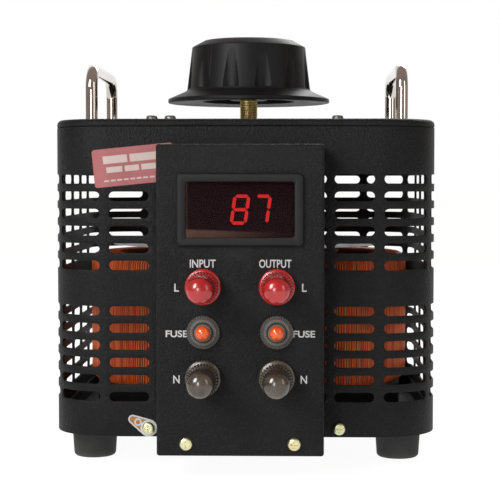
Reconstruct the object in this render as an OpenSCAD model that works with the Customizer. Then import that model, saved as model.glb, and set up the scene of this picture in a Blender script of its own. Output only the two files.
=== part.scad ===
// Bench variable autotransformer: a toroidal winding in a slotted steel case, with a control
// knob on top, a terminal box in front, two carrying handles and four rubber feet.
// Millimetres, +Z up, front towards -Y. The origin is the middle of the footprint, on the floor.

/* [Case] */
// Width of the case
case_w = 232; // [230:1:236]
// Depth of the case, without the terminal box
case_d = 216; // [216:1:222]
// Height of the case, without the feet
case_h = 190; // [189:1:200]
// Radius of the upright corners
corner_r = 35; // [33:1:37]
// Thickness of the slotted sheet
sheet_t = 1.2; // [1:0.1:1.5]
// Height of the lid's rim
lid_rim = 4.7; // [4:0.1:6]

/* [Cooling slots] */
// Length of a slot, measured round the case
slot_len = 31.3; // [28:0.1:32]
// Height of a slot
slot_h = 5.6; // [4:0.1:6.5]
// Distance from one slot to the next, measured round the case
slot_step = 36.5; // [36.3:0.1:36.8]
// Distance from one row of slots to the next
row_step = 10.3; // [9.5:0.1:10.5]
// Rows in the upper block and in the lower block
block_rows = 6; // [3:1:6]

/* [Feet and handles] */
// Height of a foot
foot_h = 19.2; // [16:0.2:24]
// Radius of a foot where it meets the case
foot_r = 14.2; // [12:0.1:15]
// Height of a handle above the lid
handle_h = 37.2; // [32:0.2:45]
// Radius of the handle rod
rod_r = 3.9; // [3.5:0.1:4.5]
// Distance between the two legs of a handle
handle_span = 107; // [96:1:108]

/* [Terminal box] */
// Width of the terminal box
box_w = 96; // [94:1:98]
// Height of the terminal box
box_h = 178.6; // [176:0.2:180]
// How far the terminal box sits off the middle, to the right
front_shift = -0.9; // [-2:0.1:2]
// How far the terminal box stands out from the case
box_depth = 38; // [36:1:44]
// Sideways distance from the middle to a column of terminals
column_x = 21; // [20.5:0.1:22]
// How far a binding post stands out from the box
post_reach = 39; // [36:0.5:42]
// How far a binding post's cap unscrews
cap_travel = 4; // [2:0.5:5]
// How far a tripped breaker's button stands further out
button_travel = 3; // [1:0.5:3.5]

/* [Knob and rotor] */
// Radius of the knob's skirt
skirt_r = 53.4; // [50:0.1:56]
// Height of the knob
knob_h = 41.3; // [40:0.1:46]
// Gap between the lid and the knob
knob_gap = 14.4; // [10:0.1:16]
// Radius of the shaft
shaft_r = 5.7; // [5:0.1:6]
// Angle of the brush as stored, counted anticlockwise from +X
brush_angle = 139; // [-65:1:245]
// Radial clearance of the shaft in its bushes
running_gap = 0.05; // [0.02:0.01:0.08]

/* [Winding] */
// Outer radius of the winding
coil_r = 104; // [100:0.5:104]
// Radius of the hole in the winding
coil_hole_r = 48; // [44:0.5:50]
// Height of the winding
coil_h = 83; // [79:0.5:84]
// Angle left bare at the front of the winding
coil_gap = 34; // [30:1:36]

/* [Hidden] */
$fn = 64;

// Heights, counted from the floor
case_z = foot_h;
lid_z = case_z + case_h;
tray_top = case_z + 2;
box_z = 14.5;
knob_z = lid_z + knob_gap;
coil_z = case_z + 23.8;
coil_top = coil_z + coil_h;
clamp_top = coil_top + 3;
disc_z = clamp_top + 2;
disc_t = 3;
disc_top = disc_z + disc_t;

// Front and back, counted from the knob's axis
case_front = -case_d / 2;
box_front = case_front - box_depth;
rear_head_h = 2.4;
axis_y = (box_depth + post_reach - rear_head_h) / 2;

// Colours
powder_black = [0.05, 0.05, 0.055];
moulded_black = [0.08, 0.08, 0.08];
rubber_grey = [0.16, 0.16, 0.16];
copper_red = [0.72, 0.24, 0.11];
steel = [0.7, 0.7, 0.72];
yellow_zinc = [0.75, 0.68, 0.4];
brass = [0.75, 0.6, 0.3];
post_red = [0.8, 0.1, 0.1];
button_orange = [0.95, 0.4, 0.08];
phenolic = [0.3, 0.18, 0.1];
lead_red = [0.45, 0.05, 0.05];

// ---------------------------------------------------------------- shared shapes

// Puts its children where the knob's axis crosses the floor
module from_axis() { translate([0, axis_y, 0]) children(); }

// Puts its children on the face of the terminal box, with +Z pointing out of the box
module on_box(x, z) {
    from_axis() translate([x + front_shift, box_front, z]) rotate([90, 0, 0]) children();
}

// Rectangle with true round corners
module round_rect(w, d, r) {
    square([w - 2 * r, d], center = true);
    square([w, d - 2 * r], center = true);
    for (x = [-1, 1], y = [-1, 1])
        translate([x * (w / 2 - r), y * (d / 2 - r)]) circle(r);
}

// Plan of the case, drawn in by some distance
module case_plan(inset) { round_rect(case_w - 2 * inset, case_d - 2 * inset, corner_r - inset); }

// Outline of a round thing with upright serrations
module serrated(r, depth, teeth) {
    polygon([for (i = [0:2 * teeth - 1])
        let (a = 180 * i / teeth, q = r - (i % 2) * depth) [q * cos(a), q * sin(a)]]);
}

// Tube along +Z
module tube(outer, inner, length) {
    difference() {
        cylinder(r = outer, h = length);
        translate([0, 0, -1]) cylinder(r = inner, h = length + 2);
    }
}

// Cross recess cut into a screw head whose top is at z = 0
module cross_recess(size, depth) {
    for (a = [0, 90])
        rotate([0, 0, a]) translate([0, 0, -depth / 2 + 0.5])
            cube([size, size * 0.2, depth + 1], center = true);
}

// Pan-head screw: head above z = 0, shank below
module pan_screw(head_r, head_h, shank_r, shank_l) {
    difference() {
        union() {
            translate([0, 0, -shank_l]) cylinder(r = shank_r, h = shank_l + 0.5);
            rotate_extrude() pan_profile(head_r, head_h);
        }
        translate([0, 0, head_h]) cross_recess(head_r * 1.2, head_h * 0.6);
    }
}

module pan_profile(head_r, head_h) {
    polygon(concat([[0, 0], [head_r, 0]],
        [for (a = [0:15:90]) [head_r * (0.6 + 0.4 * cos(a)), head_h * (0.25 + 0.75 * sin(a))]],
        [[0, head_h]]));
}

// Hexagon nut with a threaded bore, standing on z = 0
module hex_nut(across, height, bore_r) {
    difference() {
        cylinder(r = across / sqrt(3), h = height, $fn = 6);
        translate([0, 0, -1]) cylinder(r = bore_r, h = height + 2);
    }
}

// ---------------------------------------------------------------- base and feet

foot_inset = 45;
foot_x = case_w / 2 - 21;
foot_y = case_d / 2 - foot_inset;
foot_bottom_r = foot_r - 1.1;
foot_edge_r = 2.5;
foot_hole_r = 2.2;
foot_pocket_r = 5.2;
foot_pocket_h = 9;
foot_head_r = 4;
foot_head_h = 2.8;
foot_screw_up = 5;
lip_h = 12;
lip_t = 1.5;
clamp_bolt_circle = 36;
clamp_bolt_r = 3;
wrap_screw_x = 57;
wrap_screw_z = case_z + 5.2;
wrap_shank_r = 1.5;
wrap_shank_l = 6;
hole_l = 10;

module case_screw_spots(z) {
    for (x = [-1, 1]) translate([x * wrap_screw_x, case_front, z]) rotate([90, 0, 0]) children();
    for (x = [-1, 1]) translate([x * wrap_screw_x, -case_front, z]) rotate([-90, 0, 0]) children();
}

module bolt_spots() {
    for (a = [0, 120, 240]) rotate([0, 0, a]) translate([clamp_bolt_circle, 0, 0]) children();
}

// Hole through a thin sheet whose face is at z = 0
module hole(r) { translate([0, 0, 2 - hole_l]) cylinder(r = r, h = hole_l); }

module foot_spots() {
    for (x = [-1, 1], y = [-1, 1]) translate([x * foot_x, y * foot_y, 0]) children();
}

module base_tray() {
    color(powder_black) from_axis() difference() {
        translate([0, 0, case_z]) linear_extrude(lip_h) case_plan(sheet_t);
        translate([0, 0, tray_top]) linear_extrude(lip_h) case_plan(sheet_t + lip_t);
        foot_spots() cylinder(r = foot_hole_r, h = 2 * tray_top);
        bolt_spots() cylinder(r = clamp_bolt_r, h = 2 * tray_top);
        case_screw_spots(wrap_screw_z) hole(wrap_shank_r);
    }
}

module foot(x, y) {
    color(rubber_grey) from_axis() translate([x * foot_x, y * foot_y, 0]) rotate_extrude() difference() {
        union() {
            polygon([[0, foot_edge_r], [foot_bottom_r, foot_edge_r], [foot_r, foot_h], [0, foot_h]]);
            square([foot_bottom_r - foot_edge_r, 2 * foot_edge_r]);
            translate([foot_bottom_r - foot_edge_r, foot_edge_r]) circle(foot_edge_r);
        }
        square([foot_pocket_r, foot_pocket_h]);
        square([foot_hole_r, 2 * foot_h]);
    }
}

module foot_front_left() { foot(-1, -1); }
module foot_front_right() { foot(1, -1); }
module foot_rear_left() { foot(-1, 1); }
module foot_rear_right() { foot(1, 1); }

module foot_screws() {
    color(steel) from_axis() foot_spots() translate([0, 0, foot_pocket_h]) rotate([180, 0, 0])
        pan_screw(foot_head_r, foot_head_h, foot_hole_r, foot_h - foot_pocket_h + foot_screw_up);
}

// ---------------------------------------------------------------- case and lid

front_flat = case_w / 2 - corner_r;
arc_len = corner_r * PI / 2;
side_flat = case_d - 2 * corner_r;
front_slots = [[43.2, 50.6], [55.3, 79.1]];
slot_first = 84.8;
slots_per_half = 9;
upper_rows_z = case_z + 154.1;
lower_rows_z = case_z + 75.4;
slot_shift = -1.3;
window_w = 78;
window_low = 34;
window_high = 182;
cutter_in = 4;

// Cuts the plan of the slot that runs from s0 to s1, measured round the case from the front
module slot_plan(s0, s1) {
    a0 = front_flat;
    a1 = a0 + arc_len;
    b0 = a1 + side_flat;
    b1 = b0 + arc_len;
    deg = 180 / (PI * corner_r);
    if (s0 < a0)
        translate([s0, case_front - 1]) square([min(s1, a0) - s0, cutter_in]);
    if (s1 > a0 && s0 < a1)
        translate([front_flat, case_front + corner_r])
            arc_plan(-90 + (max(s0, a0) - a0) * deg, -90 + (min(s1, a1) - a0) * deg);
    if (s1 > a1 && s0 < b0)
        translate([case_w / 2 + 1 - cutter_in, case_front + corner_r + max(s0, a1) - a1])
            square([cutter_in, min(s1, b0) - max(s0, a1)]);
    if (s1 > b0 && s0 < b1)
        translate([front_flat, -case_front - corner_r])
            arc_plan((max(s0, b0) - b0) * deg, (min(s1, b1) - b0) * deg);
    if (s1 > b1)
        translate([front_flat - (s1 - b1), -case_front + 1 - cutter_in])
            square([s1 - max(s0, b1), cutter_in]);
}

// Wedge that crosses the sheet between two angles
module arc_plan(from, to) {
    near = corner_r - cutter_in;
    far = corner_r + 1;
    steps = 4;
    polygon(concat(
        [for (i = [0:steps]) let (a = from + (to - from) * i / steps) near * [cos(a), sin(a)]],
        [for (i = [steps:-1:0]) let (a = from + (to - from) * i / steps) far * [cos(a), sin(a)]]));
}

module slot_row() {
    full_slots = [for (i = [0:slots_per_half - 1]) [0, slot_len] + (slot_first + i * slot_step) * [1, 1]];
    for (side = [1, -1], span = concat(front_slots, full_slots))
        mirror([side < 0 ? 1 : 0, 0]) slot_plan(span[0] + side * slot_shift, span[1] + side * slot_shift);
}

module case_wrap() {
    color(powder_black) from_axis() difference() {
        translate([0, 0, case_z]) linear_extrude(case_h - lid_rim) case_plan(0);
        translate([0, 0, case_z - 1]) linear_extrude(case_h) case_plan(sheet_t);
        for (top = [upper_rows_z, lower_rows_z], i = [0:block_rows - 1])
            translate([0, 0, top - i * row_step - slot_h / 2]) linear_extrude(slot_h) slot_row();
        translate([front_shift - window_w / 2, case_front - 1, window_low])
            cube([window_w, cutter_in, window_high - window_low]);
        case_screw_spots(wrap_screw_z) hole(wrap_shank_r);
    }
}

module wrap_screws() {
    color(yellow_zinc) from_axis() case_screw_spots(wrap_screw_z)
        pan_screw(3.8, rear_head_h, wrap_shank_r, wrap_shank_l);
}

cover_t = 1.5;
cover_lip = 10;
cover_screw_x = 56.3;
cover_screw_y = case_d / 2 - 20;
cover_shank_r = 1.8;
cover_shank_l = 8;
earth_screw_x = -45.2;
bush_r = 9;
handle_x = case_w / 2 - 18.5;

module handle_spots() {
    for (x = [-1, 1], y = [-1, 1])
        translate([x * handle_x, y * handle_span / 2, 0]) children();
}

module cover_screw_spots() {
    for (x = [-1, 1], y = [-1, 1])
        translate([x * cover_screw_x, y * cover_screw_y, lid_z]) children();
    translate([earth_screw_x, -cover_screw_y, lid_z]) children();
}

module top_cover() {
    color(powder_black) from_axis() difference() {
        union() {
            translate([0, 0, lid_z - lid_rim]) linear_extrude(lid_rim) case_plan(0);
            translate([0, 0, lid_z - cover_lip]) linear_extrude(cover_lip) case_plan(sheet_t);
        }
        translate([0, 0, lid_z - cover_lip - cover_t]) linear_extrude(cover_lip) case_plan(sheet_t + lip_t);
        translate([0, 0, lid_z]) hole(bush_r);
        handle_spots() translate([0, 0, lid_z]) hole(rod_r);
        cover_screw_spots() hole(cover_shank_r);
    }
}

module cover_screws() {
    color(steel) from_axis() cover_screw_spots() pan_screw(3.5, 2.6, cover_shank_r, cover_shank_l);
}

dial_r = 72;
dial_t = 0.8;

module dial_plate() {
    color(steel) from_axis() translate([0, 0, lid_z]) tube(dial_r, bush_r, dial_t);
}

handle_bend_r = 13;
handle_tail = 14;

module handle(side) {
    half = handle_span / 2;
    bar_z = lid_z + handle_h - rod_r;
    color([0.8, 0.8, 0.8]) from_axis() translate([side * handle_x, 0, 0]) {
        translate([0, -half + handle_bend_r, bar_z]) rotate([-90, 0, 0])
            cylinder(r = rod_r, h = handle_span - 2 * handle_bend_r);
        for (y = [-1, 1]) {
            translate([0, y * half, lid_z - handle_tail])
                cylinder(r = rod_r, h = bar_z - handle_bend_r - lid_z + handle_tail);
            translate([0, y * (half - handle_bend_r), bar_z - handle_bend_r]) rotate([90, 0, y * 90])
                rotate_extrude(angle = 90) translate([handle_bend_r, 0]) circle(rod_r);
        }
    }
}

module handle_left() { handle(-1); }
module handle_right() { handle(1); }

handle_nut_h = 5;
handle_nut_across = 13;

module handle_nuts() {
    color(yellow_zinc) from_axis() handle_spots() translate([0, 0, lid_z - cover_t - handle_nut_h])
        hex_nut(handle_nut_across, handle_nut_h, rod_r);
}

// ---------------------------------------------------------------- winding and its supports

coil_edge_r = 6;
core_gap = 5;
seat_r = 100;
seat_hole_r = 58;
clamp_r = 60;
clamp_hole_r = 16;

// Half section of the winding, grown inwards by some distance
module coil_section(inset) {
    mid = (coil_r + coil_hole_r) / 2;
    translate([mid, coil_z + coil_h / 2])
        round_rect(coil_r - coil_hole_r - 2 * inset, coil_h - 2 * inset, coil_edge_r - inset);
}

module coil_seat() {
    color(moulded_black) from_axis() translate([0, 0, tray_top])
        tube(seat_r, seat_hole_r, coil_z - tray_top);
}

module coil_core() {
    color([0.25, 0.25, 0.27]) from_axis() rotate_extrude() coil_section(core_gap);
}

module coil_winding() {
    color(copper_red) from_axis() rotate([0, 0, -90 + coil_gap / 2])
        rotate_extrude(angle = 360 - coil_gap) difference() {
            coil_section(0);
            coil_section(core_gap);
        }
}

module clamp_ring() {
    color(phenolic) from_axis() translate([0, 0, coil_top]) difference() {
        tube(clamp_r, clamp_hole_r, clamp_top - coil_top);
        translate([0, 0, clamp_top - coil_top]) bolt_spots() hole(clamp_bolt_r);
    }
}

module clamp_bolts() {
    head_h = 1.5;
    bolt_nut_h = 4;
    low = case_z - bolt_nut_h - 1;
    color(steel) from_axis() bolt_spots() {
        translate([0, 0, low]) cylinder(r = clamp_bolt_r, h = clamp_top + head_h - low);
        translate([0, 0, clamp_top]) cylinder(r = 5.5, h = head_h);
        translate([0, 0, case_z - bolt_nut_h]) cylinder(r = 5.8, h = bolt_nut_h, $fn = 6);
    }
}

bush_bore_r = shaft_r + running_gap;
flange_r = 18;
flange_t = 3;
lower_bush_h = 16;
upper_bush_h = 12;
collar_r = bush_r + 3;
collar_t = 1.6;
bush_nut_r = bush_r + 5;
bush_nut_h = 6;

module lower_bush() {
    color(brass) from_axis() translate([0, 0, tray_top]) {
        tube(flange_r, bush_bore_r, flange_t);
        tube(bush_r, bush_bore_r, lower_bush_h);
    }
}

module upper_bush() {
    color(brass) from_axis() {
        translate([0, 0, lid_z - upper_bush_h]) tube(bush_r, bush_bore_r, upper_bush_h + dial_t);
        translate([0, 0, lid_z + dial_t]) tube(collar_r, bush_bore_r, collar_t);
        translate([0, 0, lid_z - cover_t - bush_nut_h]) tube(bush_nut_r, bush_r - 1, bush_nut_h);
    }
}

// ---------------------------------------------------------------- stop

stop_half_angle = 9.9;
arm_z = lid_z - 27;
arm_t = 6;
arm_w = 6;
arm_hub_r = 11;
pad_in_r = 26;
pad_out_r = 35;
block_in_r = 30;
block_out_r = 42;

// Wedge between two radii, with sides that point at the axis
module stop_wedge(inner, outer, height) {
    spread = [cos(stop_half_angle), sin(stop_half_angle)];
    flip = [spread[0], -spread[1]];
    linear_extrude(height) polygon([inner * flip, outer * flip, outer * spread, inner * spread]);
}

module stop_block() {
    color(phenolic) from_axis() rotate([0, 0, -90]) translate([0, 0, arm_z - 2])
        stop_wedge(block_in_r, block_out_r, lid_z - cover_t - arm_z + 2);
}

module stop_arm() {
    color(steel) on_arm() translate([0, 0, arm_z]) difference() {
        union() {
            cylinder(r = arm_hub_r, h = arm_t);
            translate([0, -arm_w / 2, 0]) cube([pad_in_r + 2, arm_w, arm_t]);
            stop_wedge(pad_in_r, pad_out_r, arm_t);
        }
        translate([0, 0, -1]) cylinder(r = shaft_r, h = arm_t + 2);
    }
}

// ---------------------------------------------------------------- rotor

flutes = 12;
flute_r = 7.5;
flute_centre = 45.3;
skirt_rim_t = 2.7;
body_z = 8.3;
body_low_r = 40.7;
body_high_r = 37.5;
shoulder_z = knob_h - 5;
knob_top_r = 30;
cavity_r = 30.5;
cavity_top = shoulder_z - 4;
hub_r = 12;
set_screw_r = 2.5;
set_screw_z = 14;
set_screw_socket_r = 1.4;
set_screw_socket_l = 2.3;

module knob() {
    color(moulded_black) from_axis() translate([0, 0, knob_z]) difference() {
        rotate_extrude() polygon([
            [0, 2], [skirt_r - 1.2, 0], [skirt_r, 0.6], [skirt_r, skirt_rim_t],
            [body_low_r + 2, body_z - 1], [body_low_r, body_z], [body_high_r, shoulder_z],
            [knob_top_r, knob_h - 0.3], [0, knob_h]]);
        for (i = [0:flutes - 1]) rotate([0, 0, (i + 0.5) * 360 / flutes])
            translate([flute_centre, 0, body_z + 0.4]) cylinder(r = flute_r, h = knob_h);
        translate([0, 0, -1]) tube(cavity_r, hub_r, cavity_top + 1);
        translate([0, 0, -1]) cylinder(r = shaft_r, h = cavity_top + 1);
        translate([0, 0, set_screw_z]) rotate([-90, 0, 0]) cylinder(r = set_screw_r, h = skirt_r);
    }
}

module knob_set_screw() {
    length = hub_r - shaft_r;
    color(steel) from_axis() translate([0, shaft_r, knob_z + set_screw_z]) rotate([-90, 0, 0])
        difference() {
            cylinder(r = set_screw_r, h = length);
            translate([0, 0, length - set_screw_socket_l])
                cylinder(r = set_screw_socket_r, h = hole_l, $fn = 6);
        }
}

module shaft() {
    low = tray_top + 1.5;
    color(brass) from_axis() translate([0, 0, low])
        cylinder(r = shaft_r, h = knob_z + cavity_top - low);
}

disc_r = 90;
disc_hub_r = 15;
disc_hub_h = 18;
disc_hole_r = 13;
disc_hole_circle = 46;
brush_x = 78;
brush_w = 8;
brush_l = 12;
brush_h = 15;
brush_clear = 0.3;
holder_wall = 3;
holder_h = 18;
holder_roof = 2;
spring_r = 3.2;
spring_wire = 0.9;
brush_low = coil_top + running_gap;

module on_arm() { from_axis() rotate([0, 0, brush_angle]) children(); }

module brush_disc() {
    color([0.75, 0.76, 0.78]) on_arm() translate([0, 0, disc_z]) difference() {
        union() {
            cylinder(r = disc_r, h = disc_t);
            cylinder(r = disc_hub_r, h = disc_hub_h);
        }
        translate([0, 0, -1]) cylinder(r = shaft_r, h = disc_hub_h + 2);
        translate([brush_x, 0, 0]) cube([brush_l + 1, brush_w + 1, 3 * disc_t], center = true);
        for (a = [45:45:315]) rotate([0, 0, a])
            translate([disc_hole_circle, 0, -1]) cylinder(r = disc_hole_r, h = disc_t + 2);
    }
}

module brush_holder() {
    color(brass) on_arm() translate([brush_x, 0, disc_top]) difference() {
        translate([-brush_l / 2 - holder_wall, -brush_w / 2 - holder_wall, 0])
            cube([brush_l + 2 * holder_wall, brush_w + 2 * holder_wall, holder_h]);
        translate([-brush_l / 2 - brush_clear, -brush_w / 2 - brush_clear, -1])
            cube([brush_l + 2 * brush_clear, brush_w + 2 * brush_clear, holder_h + 1 - holder_roof]);
    }
}

module carbon_brush() {
    color([0.12, 0.12, 0.13]) on_arm() translate([brush_x, 0, brush_low + brush_h / 2])
        cube([brush_l, brush_w, brush_h], center = true);
}

module brush_spring() {
    low = brush_low + brush_h;
    high = disc_top + holder_h - holder_roof;
    color(steel) on_arm() translate([brush_x, 0, low]) tube(spring_r, spring_r - spring_wire, high - low);
}

// ---------------------------------------------------------------- terminal box and meter

box_t = 1.2;
box_edge_r = 1.6;
meter_z = 155.8;
bezel_w = 72.4;
bezel_h = 41.7;
glass_w = 62;
glass_h = 31.8;
bezel_out = 2.6;
bezel_r = 3;
glass_r = 1.5;
glass_t = 1.2;
glass_rest = 2;
meter_depth = 24;
meter_pocket = 1.2;
lit_t = 0.5;
line_z = 111.9;
neutral_z = 59.9;
breaker_z = 85.9;
breaker_thread_r = 5;
stud_r = 2.5;
panel_screw_x = 31;
panel_screw_z = 21.8;
panel_shank_r = 1.8;
panel_shank_l = 9;

module post_spots() {
    for (x = [-1, 1], z = [line_z, neutral_z]) on_box(x * column_x, z) children();
}

module front_panel() {
    color(powder_black) difference() {
        from_axis() translate([front_shift, (box_front + case_front) / 2, box_z])
            linear_extrude(box_h) union() {
                translate([0, box_edge_r / 2]) square([box_w, box_depth - box_edge_r], center = true);
                round_rect(box_w, box_depth, box_edge_r);
            }
        from_axis() translate([front_shift - box_w / 2 + box_t, box_front + box_t, box_z + box_t])
            cube([box_w - 2 * box_t, box_depth, box_h - 2 * box_t]);
        on_box(0, meter_z) cube([bezel_w - 4, bezel_h - 4, 10], center = true);
        post_spots() hole(stud_r);
        for (x = [-1, 1]) {
            on_box(x * column_x, breaker_z) hole(breaker_thread_r);
            on_box(x * panel_screw_x, panel_screw_z) hole(panel_shank_r);
        }
    }
}

module panel_screws() {
    color(yellow_zinc) for (x = [-1, 1]) on_box(x * panel_screw_x, panel_screw_z)
        pan_screw(3.9, 2.6, panel_shank_r, panel_shank_l);
}

module meter_bezel() {
    color(moulded_black) on_box(0, meter_z) difference() {
        linear_extrude(bezel_out) round_rect(bezel_w, bezel_h, bezel_r);
        translate([0, 0, -1]) linear_extrude(bezel_out + 2) round_rect(glass_w, glass_h, glass_r);
    }
}

module meter_window() {
    color([0.3, 0.02, 0.05, 0.6]) on_box(0, meter_z) linear_extrude(glass_t)
        round_rect(glass_w, glass_h, glass_r);
}

module meter_body() {
    color(moulded_black) on_box(0, meter_z) difference() {
        translate([-bezel_w / 2 + 2, -bezel_h / 2 + 2, -meter_depth])
            cube([bezel_w - 4, bezel_h - 4, meter_depth]);
        translate([0, 0, -meter_pocket]) linear_extrude(2 * meter_pocket)
            round_rect(glass_w - 2 * glass_rest, glass_h - 2 * glass_rest, 1);
    }
}

digit_w = 9.8;
digit_h = 17.2;
digit_step = 12.2;
digit_lean = 8;
segment_w = 1.9;

// One bar of a digit, lying along +X, with pointed ends
module segment(length) {
    half = length / 2 - 0.25;
    tip = segment_w / 2;
    polygon([[-half, 0], [tip - half, tip], [half - tip, tip],
        [half, 0], [half - tip, -tip], [tip - half, -tip]]);
}

// The bars of a digit: top, upper left, upper right, middle, lower left, lower right, bottom
module digit(bars) {
    dx = (digit_w - segment_w) / 2;
    dy = (digit_h - segment_w) / 2;
    places = [[0, dy, 0], [-dx, dy / 2, 90], [dx, dy / 2, 90], [0, 0, 0],
        [-dx, -dy / 2, 90], [dx, -dy / 2, 90], [0, -dy, 0]];
    for (i = bars) {
        p = places[i];
        translate([p[0] + p[1] * tan(digit_lean), p[1], 0]) linear_extrude(lit_t)
            rotate(p[2] == 90 ? 90 - digit_lean : 0) segment(p[2] == 90 ? dy : 2 * dx);
    }
}

module lit_segments() {
    color([0.95, 0.1, 0.08]) on_box(0, meter_z) {
        translate([0, 0, -meter_pocket]) digit([0, 1, 2, 3, 4, 5, 6]);
        translate([digit_step, 0, -meter_pocket]) digit([0, 2, 5]);
    }
}

// ---------------------------------------------------------------- binding posts

base_r = 10.35;
base_t = 5;
base_boss_r = 7.4;
washer_z = 6.8;
washer_t = 1.2;
washer_r = 7.4;
cap_z = washer_z + washer_t;
knurl_r = 9.3;
knurl_l = 9;
cap_front_r = 7.5;
cap_dome_l = 5;
knurl_depth = 0.4;
knurl_root_r = knurl_r - 0.6;
cap_bore_l = 24;

module post_base() {
    difference() {
        union() {
            cylinder(r = base_r, h = base_t);
            cylinder(r = base_boss_r, h = washer_z);
        }
        translate([0, 0, -1]) cylinder(r = stud_r, h = washer_z + 2);
    }
}

module post_washer() {
    translate([0, 0, washer_z]) tube(washer_r, stud_r + running_gap, washer_t);
}

module post_cap() {
    length = post_reach - cap_z;
    start = length - cap_dome_l;
    translate([0, 0, cap_z]) difference() {
        union() {
            linear_extrude(knurl_l) serrated(knurl_r, knurl_depth, 36);
            rotate_extrude() polygon(concat(
                [[0, 0], [knurl_root_r, 0], [knurl_root_r, knurl_l], [cap_front_r, start]],
                [for (a = [15:15:90]) [cap_front_r * cos(a), start + cap_dome_l * sin(a)]]));
        }
        translate([0, 0, -1]) cylinder(r = stud_r + running_gap, h = cap_bore_l + cap_travel + 1);
    }
}

module input_line_base() { color(post_red) on_box(-column_x, line_z) post_base(); }
module input_line_washer() { color(brass) on_box(-column_x, line_z) post_washer(); }
module input_line_cap() { color(post_red) on_box(-column_x, line_z) post_cap(); }
module input_neutral_base() { color(moulded_black) on_box(-column_x, neutral_z) post_base(); }
module input_neutral_washer() { color(brass) on_box(-column_x, neutral_z) post_washer(); }
module input_neutral_cap() { color(moulded_black) on_box(-column_x, neutral_z) post_cap(); }
module output_line_base() { color(post_red) on_box(column_x, line_z) post_base(); }
module output_line_washer() { color(brass) on_box(column_x, line_z) post_washer(); }
module output_line_cap() { color(post_red) on_box(column_x, line_z) post_cap(); }
module output_neutral_base() { color(moulded_black) on_box(column_x, neutral_z) post_base(); }
module output_neutral_washer() { color(brass) on_box(column_x, neutral_z) post_washer(); }
module output_neutral_cap() { color(moulded_black) on_box(column_x, neutral_z) post_cap(); }

insulator_t = 3;
insulator_r = 8;
post_nut_h = 4;
post_nut_across = 8;
stud_back = 14;

module post_studs() {
    color(brass) post_spots() translate([0, 0, -stud_back])
        cylinder(r = stud_r, h = stud_back + cap_z + cap_bore_l - 1);
}

module post_insulators() {
    color(phenolic) post_spots() translate([0, 0, -box_t - insulator_t])
        tube(insulator_r, stud_r, insulator_t);
}

module post_nuts() {
    color(brass) post_spots() translate([0, 0, -box_t - insulator_t - post_nut_h])
        hex_nut(post_nut_across, post_nut_h, stud_r);
}

// ---------------------------------------------------------------- breakers

breaker_neck = 6.5;
button_r = 4.2;
button_out = 8;
button_dome = 3;
button_root = 6 + button_travel;
breaker_nut_t = 3.2;
breaker_nut_r = 9.5;
breaker_nut_tooth = 0.5;
breaker_ring_r = 7;
breaker_w = 14;
breaker_h = 28;
breaker_deep = 30;

module breaker() {
    bore_r = button_r + running_gap;
    difference() {
        union() {
            translate([0, 0, -box_t - 12]) cylinder(r = breaker_thread_r, h = box_t + 12 + breaker_neck);
            translate([-breaker_w / 2, -breaker_h / 2, -box_t - breaker_deep])
                cube([breaker_w, breaker_h, breaker_deep]);
        }
        translate([0, 0, -button_root - 1]) cylinder(r = bore_r, h = breaker_deep);
    }
}

module breaker_nut() {
    difference() {
        union() {
            linear_extrude(breaker_nut_t) serrated(breaker_nut_r, breaker_nut_tooth, 40);
            cylinder(r = breaker_ring_r, h = breaker_nut_t + 0.8);
        }
        translate([0, 0, -1]) cylinder(r = breaker_thread_r, h = 10);
    }
}

module reset_button() {
    rotate_extrude() polygon(concat([[0, -button_root], [button_r, -button_root]],
        [for (a = [0:15:90]) [button_r * cos(a), button_out + button_dome * sin(a)]]));
}

module input_breaker() { color(moulded_black) on_box(-column_x, breaker_z) breaker(); }
module input_breaker_nut() { color(moulded_black) on_box(-column_x, breaker_z) breaker_nut(); }
module input_reset_button() { color(button_orange) on_box(-column_x, breaker_z) reset_button(); }
module output_breaker() { color(moulded_black) on_box(column_x, breaker_z) breaker(); }
module output_breaker_nut() { color(moulded_black) on_box(column_x, breaker_z) breaker_nut(); }
module output_reset_button() { color(button_orange) on_box(column_x, breaker_z) reset_button(); }

// ---------------------------------------------------------------- wiring

lead_r = 1.6;
lead_sides = 8;
lead_rings = 14;
lead_line_z = 107;
lead_neutral_z = 57;

function unit(v) = v / norm(v);

// Point on the curve that leaves p[0] towards p[1] and reaches p[3] from p[2]
function curve_point(p, t) =
    p[0] * pow(1 - t, 3) + 3 * p[1] * t * pow(1 - t, 2) + 3 * p[2] * t * t * (1 - t) + p[3] * pow(t, 3);
function curve_way(p, t) =
    unit((p[1] - p[0]) * pow(1 - t, 2) + 2 * (p[2] - p[1]) * t * (1 - t) + (p[3] - p[2]) * t * t);

// Insulated lead along a curve
module lead(p) {
    rings = [for (i = [0:lead_rings]) let (
        t = i / lead_rings, way = curve_way(p, t), side = unit(cross(way, [0, 0, 1])), up = cross(side, way))
        for (k = [0:lead_sides - 1]) let (a = 360 * k / lead_sides)
            curve_point(p, t) + lead_r * (cos(a) * side + sin(a) * up)];
    last = lead_rings * lead_sides;
    polyhedron(rings, concat(
        [[for (k = [0:lead_sides - 1]) k]],
        [for (i = [0:lead_rings - 1], k = [0:lead_sides - 1])
            let (n = i * lead_sides, m = (k + 1) % lead_sides)
            [n + k, n + lead_sides + k, n + lead_sides + m, n + m]],
        [[for (k = [lead_sides - 1:-1:0]) last + k]]));
}

// Lead from the back of a post's stud to the end of the winding
module post_lead(side, z, end_z) {
    start = [side * column_x + front_shift, box_front + stud_back, z];
    mean_r = coil_r - core_gap / 2;
    half_gap = coil_gap / 2;
    finish = [side * mean_r * sin(half_gap), -mean_r * cos(half_gap), end_z];
    lead([start, start + [0, 20, 0], finish - 14 * [side * cos(half_gap), sin(half_gap), 0], finish]);
}

module inner_leads() {
    color(lead_red) from_axis() for (side = [-1, 1]) {
        post_lead(side, line_z, lead_line_z);
        post_lead(side, neutral_z, lead_neutral_z);
    }
}

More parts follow.
